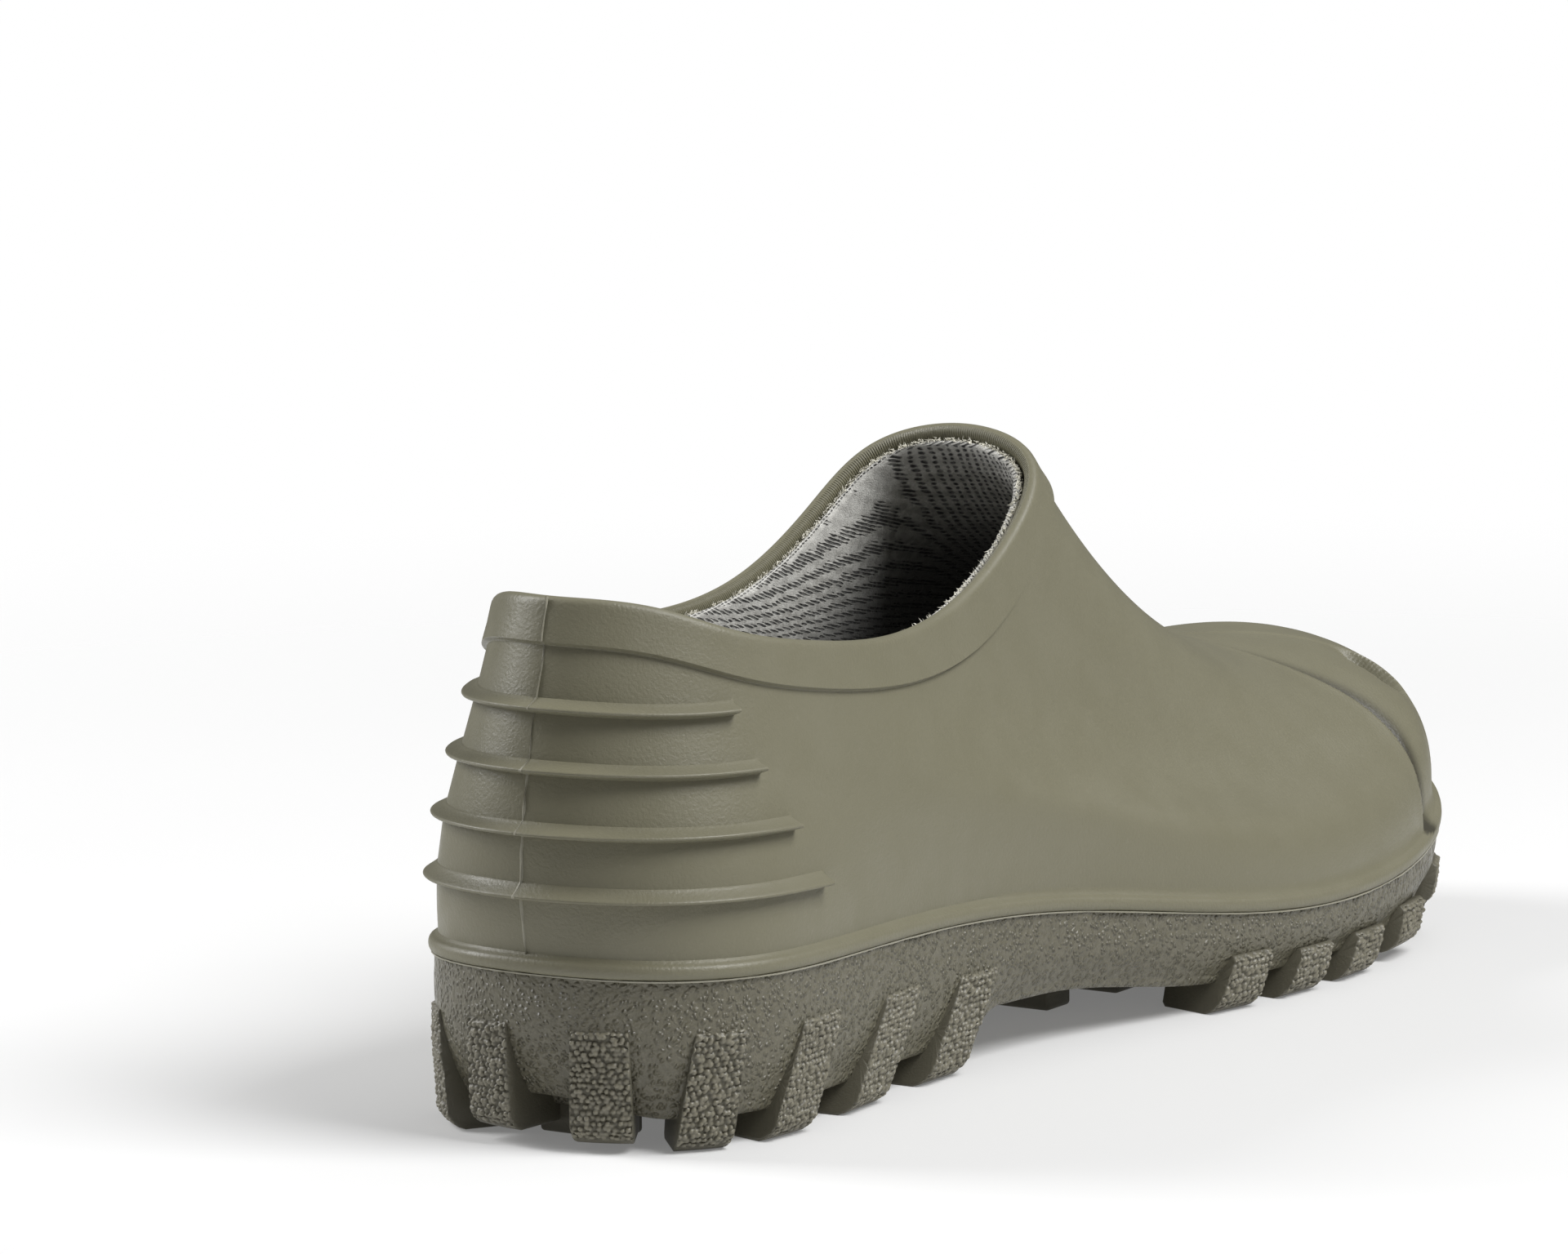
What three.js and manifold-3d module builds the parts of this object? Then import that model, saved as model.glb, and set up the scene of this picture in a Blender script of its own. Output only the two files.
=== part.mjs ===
import * as THREE from "three";
import { mergeVertices } from "three/addons/utils/BufferGeometryUtils.js";
import Module from "manifold-3d";

const wasm = await Module();
wasm.setup();

// Slip-on rubber garden clog for the right foot, in millimetres.
// +Y points to the toe, +X to the outer side of the foot, +Z up; it stands on z = 0.

// The last is drawn at one length and width, and graded along and across to the ones wanted.
const drawnLength = 296;
const drawnWidth = 113.5;
const lastLength = 296;
const lastWidth = 113.5;
const lengthGrade = lastLength / drawnLength;
const widthGrade = lastWidth / drawnWidth;
const graded = ([x, y]) => [x * widthGrade, y * lengthGrade];

// Nine stations from the back of the heel to the toe tip. Every curve round the shoe is a
// closed uniform cubic B-spline whose control points are these values, taken up the outer
// side of the foot and back down the inner side.
//   along, outer, inner, height: the feather line, where the wall meets the rand
//   topAlong, topHalf, topHeight: the top line round the foot opening
//   rise, swell: how far a wall line leaves the feather line upwards and outwards
//   fall, flare, reach: how far it arrives at the top line from below, outside and in front
//   band: depth of the collar band
const DRAWN = [
  { along: -149.5, outer: 0, inner: 0, height: 38, topAlong: -140.5, topHalf: 0, topHeight: 105,
    rise: 22, swell: 3.5, fall: 38.5, flare: 2.5, reach: -7.5, band: 9 },
  { along: -142, outer: 26, inner: 26, height: 37, topAlong: -128.5, topHalf: 18, topHeight: 104,
    rise: 25, swell: 1.5, fall: 37, flare: 4, reach: -8, band: 9.5 },
  { along: -120, outer: 41.5, inner: 37, height: 36.5, topAlong: -114, topHalf: 28, topHeight: 96,
    rise: 26, swell: 0.5, fall: 34, flare: 5, reach: -5, band: 9 },
  { along: -76, outer: 35.5, inner: 30, height: 35, topAlong: -92, topHalf: 31, topHeight: 92,
    rise: 25.5, swell: 1, fall: 32, flare: 6, reach: 3.5, band: 10 },
  { along: -18.5, outer: 37, inner: 29.5, height: 33, topAlong: -63, topHalf: 28.5, topHeight: 87.5,
    rise: 26, swell: 1, fall: 38.5, flare: 7, reach: 18, band: 12 },
  { along: 38.5, outer: 56.5, inner: 42, height: 21, topAlong: -32.5, topHalf: 26, topHeight: 89.5,
    rise: 27, swell: 0, fall: 58, flare: 7.5, reach: 38.5, band: 12 },
  { along: 94.5, outer: 57, inner: 53, height: 20.5, topAlong: -7.5, topHalf: 24.5, topHeight: 102,
    rise: 30, swell: -1, fall: 84, flare: 8, reach: 60, band: 10 },
  { along: 136, outer: 44, inner: 50, height: 31.5, topAlong: 8, topHalf: 21.5, topHeight: 115,
    rise: 47, swell: 3, fall: 94, flare: 9.5, reach: 71.5, band: 8.5 },
  { along: 146.5, outer: -2.5, inner: 2.5, height: 42.5, topAlong: 13, topHalf: 0, topHeight: 120,
    rise: 51, swell: 9, fall: 93, flare: 10.5, reach: 58, band: 8.5 },
];
const STATIONS = DRAWN.map((s) => ({
  ...s,
  along: s.along * lengthGrade, topAlong: s.topAlong * lengthGrade, reach: s.reach * lengthGrade,
  outer: s.outer * widthGrade, inner: s.inner * widthGrade, topHalf: s.topHalf * widthGrade,
}));
const TOE = STATIONS.length - 1;
const ROUND = 2 * TOE;

const frameShift = new THREE.Vector3(...graded([-2.46, 2.93]), 0);

const upperWall = 3;
const webThickness = 2;
const webInset = 2;
const collarStep = 1;
const lipDepth = 3;
const randHeight = 3.5;
const randProud = 1.9;
const gap = 0.3;

const ribCount = 4;
const ribPitch = 11.7;
const ribProud = 2.7;
const ribSlope = 2.4;
const ribTip = 0.7;
const ribEnds = [2.4, 2.23, 2.05, 1.88];

const recessDepth = 2.3;
const recessMiddle = 0.5;
const crestFillet = 1.1;
const outerCrest = [[6, 82], [15, 90.5], [25.5, 98], [38, 104], [52.5, 106.5], [66, 108]].map(graded);
const innerCrest = [[6, 82], [0, 95], [2, 111], [14, 124], [29, 130], [40, 126.5], [52, 121]].map(graded);

const sockThickness = 1.6;
const lipInset = upperWall + sockThickness;
const sockShort = 0.006;
const sockSoleThickness = 1.4;
const foamThickness = 5;
const heelCup = 5;
const coverThickness = 1.1;
// The footbed and the felt sole under it stand off the inner face of the sock.
const footbedRoom = 1.3;
const sockRoom = 0.5;
const footbedInset = upperWall + gap + sockThickness + footbedRoom;
const sockSoleInset = upperWall + gap + sockThickness + sockRoom;

const soleFlare = 0.9;
const soleTuck = 3.5;
const treadDepth = 6;
const waistLift = 5;
const waistHeelEnd = [-46 * lengthGrade, -34 * lengthGrade];
const waistForeEnd = [-20 * lengthGrade, 30 * lengthGrade];
const toeSpring = 0.0028 / lengthGrade ** 2;
const toeSpringStart = 72 * lengthGrade;
const heelBevel = 0.04 / lengthGrade ** 2;
const heelBevelStart = -138 * lengthGrade;

const lugProud = 1.3;
const lugReach = 15;
const heelLugDrop = 13.2;
const foreLugDrop = 11.6;
// Middle, half width and rearward lean of each lug round the edge, in stations.
const outerLugs = [
  [0.6, 0.22, 0], [1.5, 0.2, 0.14], [2.34, 0.17, 0.28], [3.03, 0.13, 0.28], [3.54, 0.11, 0.22],
  [4.94, 0.1, 0.08], [5.31, 0.1, 0.08], [5.7, 0.11, 0.08], [6.13, 0.13, 0.06], [6.68, 0.15, 0.04],
  [7.35, 0.2, 0],
];
const innerLugs = [
  [0.34, 0.2, 0], [1.2, 0.2, 0.1], [2.05, 0.18, 0.24], [2.8, 0.14, 0.28], [3.38, 0.12, 0.22],
  [4.85, 0.11, 0.08], [5.25, 0.11, 0.08], [5.65, 0.12, 0.08], [6.1, 0.13, 0.06], [6.65, 0.16, 0.04],
  [7.3, 0.2, 0],
];
// Half width and place along the shoe of each bar across the tread.
const barLugs = [
  [9, -128], [12, -104], [11, -80], [9, -56], [17, 16], [20, 38], [22, 60], [22, 82], [17, 103],
].map(graded);
const barWidth = 9;

const pocketAlong = -97 * lengthGrade;
const pocketHalfLength = 38 * lengthGrade;
const pocketHalfWidth = 22 * widthGrade;
const pocketFloor = 13;
const pocketSides = 32;
const pocketOvercut = 8;

// Value of a closed uniform cubic B-spline with the given control values.
function spline(values, t) {
  const count = values.length;
  const low = Math.floor(t);
  const f = t - low;
  const at = (k) => values[(((low + k) % count) + count) % count];
  const a = (1 - f) ** 3 / 6;
  const b = (3 * f ** 3 - 6 * f ** 2 + 4) / 6;
  const c = (-3 * f ** 3 + 3 * f ** 2 + 3 * f + 1) / 6;
  return a * at(-1) + b * at(0) + c * at(1) + (f ** 3 / 6) * at(2);
}

// Control values round the shoe from one value per station: out by the outer side, back by
// the inner side.
function round(outerValue, innerValue = outerValue) {
  const back = STATIONS.slice(1, TOE).reverse();
  return [...STATIONS.map(outerValue), ...back.map(innerValue)];
}

const loops = {
  featherX: round((s) => s.outer, (s) => -s.inner),
  featherY: round((s) => s.along),
  featherZ: round((s) => s.height),
  topX: round((s) => s.topHalf, (s) => -s.topHalf),
  topY: round((s) => s.topAlong),
  topZ: round((s) => s.topHeight),
  rise: round((s) => s.rise),
  swell: round((s) => s.swell),
  fall: round((s) => s.fall),
  flare: round((s) => s.flare),
  reach: round((s) => s.reach),
  band: round((s) => s.band),
};

function featherPoint(t) {
  return new THREE.Vector3(spline(loops.featherX, t), spline(loops.featherY, t), spline(loops.featherZ, t));
}

function topPoint(t) {
  return new THREE.Vector3(spline(loops.topX, t), spline(loops.topY, t), spline(loops.topZ, t));
}

// Outward normal in plan of a loop round the shoe.
function planNormal(point, t) {
  const step = 0.01;
  const along = point(t + step).sub(point(t - step));
  return new THREE.Vector3(along.y, -along.x, 0).normalize();
}

// One line up the wall, from the feather line to the top line, with its own length table.
const LINE_STEPS = 48;
function wallLine(t) {
  const foot = featherPoint(t);
  const head = topPoint(t);
  const low = foot.clone().addScaledVector(planNormal(featherPoint, t), spline(loops.swell, t));
  low.z += spline(loops.rise, t);
  const high = head.clone().addScaledVector(planNormal(topPoint, t), spline(loops.flare, t));
  high.y += spline(loops.reach, t);
  high.z -= spline(loops.fall, t);
  const curve = new THREE.CubicBezierCurve3(foot, low, high, head);
  curve.arcLengthDivisions = LINE_STEPS;
  return curve;
}

const lineCache = new Map();
function cachedLine(t) {
  const key = t.toFixed(5);
  if (!lineCache.has(key)) lineCache.set(key, wallLine(t));
  return lineCache.get(key);
}

// Point on the outer wall at a distance up its line, running straight on past either end.
function wallPoint(t, distance) {
  const line = cachedLine(t);
  const length = line.getLength();
  const kept = THREE.MathUtils.clamp(distance, 0, length);
  const u = kept / length;
  const point = line.getPointAt(u);
  if (distance !== kept) point.addScaledVector(line.getTangentAt(u), distance - kept);
  return point;
}

// Outward normal of the wall.
function wallNormal(t, distance) {
  const step = 0.02;
  const share = distance / cachedLine(t).getLength();
  const before = wallPoint(t - step, share * cachedLine(t - step).getLength());
  const after = wallPoint(t + step, share * cachedLine(t + step).getLength());
  const up = wallPoint(t, distance + 0.5).sub(wallPoint(t, distance - 0.5));
  return after.sub(before).cross(up).normalize();
}

function smooth(low, high, value) {
  return THREE.MathUtils.smoothstep(value, low, high);
}

// Stations round the shoe counted from the heel back, the same on both sides.
function fromHeel(t) {
  return Math.min(t, ROUND - t);
}

// The pull-off ribs across the back of the heel: flat below, sloped above, cut off square.
function ribHeight(t, distance) {
  const rib = Math.round((distance - 0.5) / ribPitch);
  if (rib < 1 || rib > ribCount || fromHeel(t) > ribEnds[rib - 1]) return 0;
  const above = distance - rib * ribPitch;
  if (above < 0) return ribProud * smooth(-ribTip, -ribTip / 2, above);
  return ribProud * THREE.MathUtils.clamp((ribSlope - above) / (ribSlope - ribTip / 2), 0, 1);
}

// Signed distance in plan from a crest curve to a point, positive on the curve's left.
function crestSide(samples, x, y) {
  let best = Infinity;
  let side = 0;
  for (let i = 0; i + 1 < samples.length; i += 1) {
    const a = samples[i];
    const b = samples[i + 1];
    const dx = b.x - a.x;
    const dy = b.y - a.y;
    const k = THREE.MathUtils.clamp(((x - a.x) * dx + (y - a.y) * dy) / (dx * dx + dy * dy), 0, 1);
    const away = Math.hypot(x - a.x - k * dx, y - a.y - k * dy);
    if (away < best) {
      best = away;
      side = Math.sign(dx * (y - a.y) - dy * (x - a.x)) * away;
    }
  }
  return side;
}

function crestSamples(points) {
  return new THREE.SplineCurve(points.map(([x, y]) => new THREE.Vector2(x, y))).getPoints(40);
}
const outerCrestLine = crestSamples(outerCrest);
const innerCrestLine = crestSamples(innerCrest);

// Depth of the toe panel below the two side pieces it lies between.
function recess(point) {
  const near = crestSide(outerCrestLine, point.x, point.y);
  const far = -crestSide(innerCrestLine, point.x, point.y);
  if (near <= 0 || far <= 0 || point.y < outerCrest[0][1]) return 0;
  const dip = (d) => 1 - Math.exp(-((d / crestFillet) ** 2));
  const middle = (d) => recessMiddle + (1 - recessMiddle) * Math.exp(-((d / 7) ** 2));
  return recessDepth * dip(near) * dip(far) * Math.max(middle(near), middle(far));
}

// Point of the finished outer face: ribs, collar band and toe panel on the plain wall.
function facePoint(t, distance, extra = 0) {
  const plain = wallPoint(t, distance);
  const length = cachedLine(t).getLength();
  const bandStart = length - spline(loops.band, t);
  const collar = collarStep * smooth(bandStart - 0.5, bandStart + 0.5, distance);
  const proud = collar + ribHeight(t, distance) - recess(plain) + extra;
  return plain.addScaledVector(wallNormal(t, distance), proud);
}

// Columns round the shoe, closer over the toe and at any extra stations, the same on both sides.
function columnStations(extra) {
  const half = [...extra];
  for (let i = 0; i < 18; i += 1) half.push(i / 3);
  for (let i = 0; i < 8; i += 1) half.push(6 + i / 4);
  half.sort((p, q) => p - q);
  const kept = half.filter((t, i) => i === 0 || t - half[i - 1] > 0.02);
  return [...kept, TOE, ...kept.slice(1).reverse().map((t) => ROUND - t)];
}
const plainColumns = columnStations([]);
const ribColumns = columnStations(ribEnds.flatMap((end) => [end, end + 0.03]));

function ring(stations, pointAt) {
  return stations.map((t) => pointAt(t).add(frameShift));
}

// Flat triangles joining one side of a ring to the other.
function capFaces(points, up) {
  const faces = [];
  const count = points.length;
  for (let i = 0; i < count / 2; i += 1) {
    const quad = [points[i], points[i + 1], points[count - i - 1], points[(count - i) % count]];
    faces.push(up ? [quad[0], quad[1], quad[2]] : [quad[0], quad[2], quad[1]]);
    faces.push(up ? [quad[0], quad[2], quad[3]] : [quad[0], quad[3], quad[2]]);
  }
  return faces;
}

// Faces between consecutive rings, which run anticlockwise seen from above. Each pair of
// triangles is split upwards in the ring's direction, so facing surfaces stay parallel.
function sideFaces(rings, closed) {
  const faces = [];
  const last = closed ? rings.length : rings.length - 1;
  for (let j = 0; j < last; j += 1) {
    const lower = rings[j];
    const upper = rings[(j + 1) % rings.length];
    for (let i = 0; i < lower.length; i += 1) {
      const next = (i + 1) % lower.length;
      const [a, b, c, d] = [lower[i], lower[next], upper[next], upper[i]];
      if (c.z + d.z >= a.z + b.z) faces.push([a, b, c], [a, c, d]);
      else faces.push([a, b, d], [b, c, d]);
    }
  }
  return faces;
}

function geometryOf(faces) {
  const solid = faces.filter(([a, b, c]) => a.distanceTo(b) * b.distanceTo(c) * c.distanceTo(a) > 1e-9);
  const positions = solid.flat().flatMap((p) => [p.x, p.y, p.z]);
  const loose = new THREE.BufferGeometry();
  loose.setAttribute("position", new THREE.Float32BufferAttribute(positions, 3));
  return mergeVertices(loose, 1e-4);
}

// A solid from a stack of rings closed at both ends.
function stackGeometry(rings) {
  const faces = [...capFaces(rings[0], false), ...sideFaces(rings, false), ...capFaces(rings.at(-1), true)];
  return geometryOf(faces);
}

function solidOf(geometry) {
  const mesh = new wasm.Mesh({
    numProp: 3,
    vertProperties: geometry.attributes.position.array,
    triVerts: new Uint32Array(geometry.index.array),
  });
  return new wasm.Manifold(mesh);
}

function geometryFrom(solid) {
  const mesh = solid.getMesh();
  const geometry = new THREE.BufferGeometry();
  geometry.setAttribute("position", new THREE.BufferAttribute(mesh.vertProperties, 3));
  geometry.setIndex(new THREE.BufferAttribute(mesh.triVerts, 1));
  return geometry;
}

// A ring at a plan offset from the feather line and a height from it.
function featherRing(stations, offset, height) {
  return ring(stations, (t) => {
    const point = featherPoint(t).addScaledVector(planNormal(featherPoint, t), offset);
    point.z += height;
    return point;
  });
}

const featherProfile = Array.from({ length: 20 * TOE + 1 }, (_, i) => featherPoint(i / 20));

// Height of the feather line over a place along the shoe, which every floor inside follows.
function baseHeight(y) {
  const next = featherProfile.findIndex((p) => p.y > y);
  if (next === 0) return featherProfile[0].z;
  if (next < 0) return featherProfile.at(-1).z;
  const [a, b] = [featherProfile[next - 1], featherProfile[next]];
  return THREE.MathUtils.mapLinear(y, a.y, b.y, a.z, b.z);
}

// A ring at a plan offset from the feather line, at a height from the curved floor.
function floorRing(stations, offset, heightAt) {
  return ring(stations, (t) => {
    const point = featherPoint(t).addScaledVector(planNormal(featherPoint, t), offset);
    point.z = baseHeight(point.y) + heightAt(t);
    return point;
  });
}

// Rows up the wall: set distances at the heel, where the ribs are, even shares at the toe.
const heelRows = [];
for (let rib = 1; rib <= ribCount; rib += 1) {
  const tip = rib * ribPitch;
  heelRows.push(tip - ribTip, tip - ribTip / 2, tip + ribTip / 2, tip + ribSlope);
}

function rowDistance(row, t) {
  const free = cachedLine(t).getLength() - spline(loops.band, t) - 0.6;
  const even = ((row + 1) / (heelRows.length + 1)) * free;
  const set = heelRows[row] * Math.min(1, free / (heelRows.at(-1) + 1));
  return THREE.MathUtils.lerp(set, even, smooth(2.6, 4.4, fromHeel(t)));
}

// A ring at a distance below the top line and an offset from the wall.
function topRing(stations, below, offset) {
  return ring(stations, (t) => {
    const distance = cachedLine(t).getLength() - below;
    return wallPoint(t, distance).addScaledVector(wallNormal(t, distance), offset);
  });
}

// A ring at a share of the height of the wall inside, and a depth behind its outer face.
function innerRing(stations, share, depth) {
  return ring(stations, (t) => {
    const distance = share * (cachedLine(t).getLength() - lipDepth - 1);
    return wallPoint(t, distance).addScaledVector(wallNormal(t, distance), -depth);
  });
}

const INNER_SHARES = [1, 0.76, 0.52, 0.3, 0.08];

// The upper: one moulding with the rand, heel ribs, collar band and a thin web underfoot.
function upperGeometry() {
  const face = (distanceAt) => ring(ribColumns, (t) => facePoint(t, distanceAt(t)));
  return stackGeometry([
    floorRing(ribColumns, -webInset, () => -randHeight),
    featherRing(ribColumns, randProud - 0.9, -randHeight),
    featherRing(ribColumns, randProud - 0.1, -randHeight + 0.6),
    featherRing(ribColumns, randProud - 0.3, -0.9),
    featherRing(ribColumns, 0.5, 0),
    ...heelRows.map((_, row) => face((t) => rowDistance(row, t))),
    face((t) => cachedLine(t).getLength() - spline(loops.band, t) + 0.6),
    topRing(ribColumns, 1.4, collarStep),
    topRing(ribColumns, 0.2, 0),
    topRing(ribColumns, 0.2, -2.4),
    topRing(ribColumns, 1, -lipInset),
    topRing(ribColumns, lipDepth, -lipInset),
    topRing(ribColumns, lipDepth + 0.3, -upperWall),
    ...INNER_SHARES.map((share) => innerRing(ribColumns, share, upperWall)),
    floorRing(ribColumns, -upperWall, () => webThickness - randHeight),
  ]);
}

// The knitted sock that lines the wall, from the web up to just short of the lip.
function sockGeometry() {
  const outside = upperWall + gap;
  const inside = outside + sockThickness;
  const base = () => webThickness - randHeight + gap;
  const shares = [1 - sockShort, ...INNER_SHARES.slice(1)];
  return geometryOf(sideFaces([
    floorRing(ribColumns, -outside, base),
    ...shares.toReversed().map((share) => innerRing(ribColumns, share, outside)),
    ...shares.map((share) => innerRing(ribColumns, share, inside)),
    floorRing(ribColumns, -inside, base),
  ], true));
}

// A sheet or slab on the floor inside the wall. Its two faces turn up round the heel by their
// own cup heights.
function slabGeometry(inset, low, high, lowCup, highCup) {
  const heel = (t) => 1 - smooth(2, 4, fromHeel(t));
  const dished = (cup) => (cup > 0 ? [[8, 0], [1.2, 1], [0, 1]] : [[0, 0]]);
  const face = (level, cup) => dished(cup).map(([more, share]) =>
    floorRing(plainColumns, -inset - more, (t) => level + share * cup * heel(t)));
  return stackGeometry([...face(low, lowCup), ...face(high, highCup).reverse()]);
}

// Height of the plain sole bottom, between the lugs, and of the lug bottoms.
function groundHeight(y) {
  const toe = toeSpring * Math.max(0, y - toeSpringStart) ** 2;
  const heel = heelBevel * Math.max(0, heelBevelStart - y) ** 2;
  return toe + heel;
}

function bottomHeight(y) {
  const waist = waistLift * smooth(...waistHeelEnd, y) * (1 - smooth(...waistForeEnd, y));
  return groundHeight(y) + treadDepth + waist;
}

function soleRing(offset, heightOf) {
  return ring(plainColumns, (t) => {
    const foot = featherPoint(t);
    const point = foot.clone().addScaledVector(planNormal(featherPoint, t), offset);
    point.z = heightOf(foot);
    return point;
  });
}

function soleTop(foot) {
  return foot.z - randHeight - gap;
}

// The bare outsole under the web: side wall, rounded lower edge and bottom.
function soleBody() {
  const bottom = (foot) => bottomHeight(foot.y);
  const up = (share) => (foot) => THREE.MathUtils.lerp(bottom(foot), soleTop(foot), share);
  return stackGeometry([
    soleRing(-soleTuck - 5, bottom),
    soleRing(-soleTuck, (foot) => bottom(foot) + 1),
    soleRing(-1.2, (foot) => bottom(foot) + 4),
    soleRing(soleFlare - 0.6, up(0.8)),
    soleRing(soleFlare, soleTop),
    floorRing(plainColumns, -webInset, () => -randHeight - gap),
  ]);
}

// One lug on the edge: a block up the side wall that turns under onto the tread.
function edgeLug(middle, halfWidth, lean, side) {
  const place = (t) => (side > 0 ? t : ROUND - t);
  const section = (foot) => {
    const ground = groundHeight(foot.y);
    const head = foot.z - (foot.y < waistForeEnd[0] ? heelLugDrop : foreLugDrop);
    return [
      [-3, head - 0.5], [-5, ground + treadDepth + 2.5], [-lugReach - 1, ground + treadDepth + 1.5],
      [-lugReach, ground], [-2.2, ground], [-0.6, ground + 1.6],
      [lugProud - 0.4, (head + ground) / 2], [lugProud, head - 0.8], [lugProud - 0.8, head],
    ];
  };
  const slices = [-1, 0, 1].map((share) => {
    const at = middle + side * share * halfWidth;
    const outline = section(featherPoint(place(at)));
    const head = outline.at(-1)[1];
    return outline.map(([offset, z]) => {
      const back = lean * THREE.MathUtils.clamp((head - z) / head, 0, 1);
      const t = place(at - back);
      const point = featherPoint(t).addScaledVector(planNormal(featherPoint, t), offset);
      point.z = z;
      return point.add(frameShift);
    });
  });
  const flat = section(featherPoint(place(middle))).map(([offset, z]) => new THREE.Vector2(offset, z));
  const faces = [];
  for (const [a, b, c] of THREE.ShapeUtils.triangulateShape(flat, [])) {
    faces.push([slices[0][a], slices[0][b], slices[0][c]], [slices[2][a], slices[2][c], slices[2][b]]);
  }
  for (let k = 0; k < 2; k += 1) {
    flat.forEach((_, i) => {
      const next = (i + 1) % flat.length;
      faces.push([slices[k][i], slices[k + 1][i], slices[k + 1][next]]);
      faces.push([slices[k][i], slices[k + 1][next], slices[k][next]]);
    });
  }
  return solidOf(geometryOf(faces));
}

// One straight bar across the middle of the tread.
function barLug([half, along]) {
  const bar = new THREE.BoxGeometry(2 * half, barWidth, treadDepth + 2);
  const low = Math.max(groundHeight(along - barWidth / 2), groundHeight(along + barWidth / 2));
  bar.translate(frameShift.x + 2, frameShift.y + along, low + treadDepth / 2 + 1);
  const merged = mergeVertices(bar.deleteAttribute("normal").deleteAttribute("uv"), 1e-4);
  return solidOf(merged);
}

// A rounded block in the heel, from a floor up to a clearance below the web.
function heelBlock(inset, floor, clearance) {
  const webUnderside = baseHeight(pocketAlong + pocketHalfLength) - randHeight;
  const shape = new THREE.Shape();
  for (let i = 0; i < pocketSides; i += 1) {
    const angle = (2 * Math.PI * i) / pocketSides;
    const squash = (value) => Math.sign(value) * Math.abs(value) ** 0.7;
    const x = (pocketHalfWidth - inset) * squash(Math.cos(angle));
    const y = (pocketHalfLength - inset) * squash(Math.sin(angle));
    if (i === 0) shape.moveTo(x, y);
    else shape.lineTo(x, y);
  }
  const depth = webUnderside - clearance - floor;
  const block = new THREE.ExtrudeGeometry(shape, { depth, bevelEnabled: false });
  block.translate(frameShift.x + 2, frameShift.y + pocketAlong, floor);
  return mergeVertices(block.deleteAttribute("normal").deleteAttribute("uv"), 1e-4);
}

function outsoleGeometry() {
  let sole = solidOf(soleBody());
  for (const [middle, half, lean] of outerLugs) sole = sole.add(edgeLug(middle, half, lean, 1));
  for (const [middle, half, lean] of innerLugs) sole = sole.add(edgeLug(middle, half, lean, -1));
  for (const bar of barLugs) sole = sole.add(barLug(bar));
  return geometryFrom(sole.subtract(solidOf(heelBlock(0, pocketFloor, -pocketOvercut))));
}

const finishes = {
  upper_pvc: { color: 0x6d6a58, roughness: 0.5, metalness: 0 },
  sole_pvc: { color: 0x66604f, roughness: 0.7, metalness: 0 },
  knit: { color: 0xb9b8b0, roughness: 0.95, metalness: 0 },
  felt: { color: 0x8f8f8a, roughness: 0.95, metalness: 0 },
  foam: { color: 0x55564f, roughness: 0.9, metalness: 0 },
};

const clog = new THREE.Group();
clog.name = "garden_clog";

function addPart(name, geometry, finish) {
  const mesh = new THREE.Mesh(geometry, new THREE.MeshStandardMaterial(finishes[finish]));
  mesh.name = name;
  clog.add(mesh);
}

const sockFloor = webThickness - randHeight + gap;
const sockSoleTop = sockFloor + sockSoleThickness;
const footbedFloor = sockSoleTop + gap;
const coverFloor = footbedFloor + foamThickness + gap;

addPart("upper", upperGeometry(), "upper_pvc");
addPart("outsole", outsoleGeometry(), "sole_pvc");
addPart("heel_filler", heelBlock(gap, pocketFloor + gap, gap), "foam");
addPart("lining_sock", sockGeometry(), "knit");
const foamTop = footbedFloor + foamThickness;
const coverTop = coverFloor + coverThickness;
addPart("sock_sole", slabGeometry(sockSoleInset, sockFloor, sockSoleTop, 0, 0), "felt");
addPart("footbed_foam", slabGeometry(footbedInset, footbedFloor, foamTop, 0, heelCup), "foam");
addPart("footbed_cover", slabGeometry(footbedInset, coverFloor, coverTop, heelCup, heelCup), "knit");

export default clog;
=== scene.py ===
"""A rubber garden clog for the right foot: its visible pieces, finishes, studio and camera."""

import logging
import math
from dataclasses import dataclass, field
from enum import Enum
from typing import Callable, Optional, Sequence, Union

import bpy
import numpy as np
from mathutils import Matrix, Vector

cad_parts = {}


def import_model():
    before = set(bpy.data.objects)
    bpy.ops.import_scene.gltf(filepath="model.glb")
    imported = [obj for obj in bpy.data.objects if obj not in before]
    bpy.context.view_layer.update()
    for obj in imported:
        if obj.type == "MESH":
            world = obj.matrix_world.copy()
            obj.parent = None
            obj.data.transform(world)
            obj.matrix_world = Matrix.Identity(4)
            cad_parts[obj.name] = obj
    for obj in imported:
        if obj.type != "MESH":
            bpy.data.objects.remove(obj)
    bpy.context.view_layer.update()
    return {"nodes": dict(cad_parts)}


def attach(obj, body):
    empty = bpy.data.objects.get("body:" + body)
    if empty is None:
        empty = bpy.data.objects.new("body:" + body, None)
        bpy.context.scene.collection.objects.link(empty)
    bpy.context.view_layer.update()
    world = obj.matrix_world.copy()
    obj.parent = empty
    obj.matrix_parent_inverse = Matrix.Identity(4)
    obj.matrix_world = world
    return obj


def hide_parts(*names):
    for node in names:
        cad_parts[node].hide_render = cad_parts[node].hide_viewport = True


log = logging.getLogger("garden_clog")
MM = 0.001
FELT = 1.4
Array = np.ndarray
Place = Callable[[Array, Array], Array]


class Slot(Enum):
    """Material slots of the record."""

    UPPER = "upper_pvc"
    SOLE = "sole_pvc"
    KNIT = "knit"
    FELT = "felt"
    FOAM = "foam"


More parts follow.
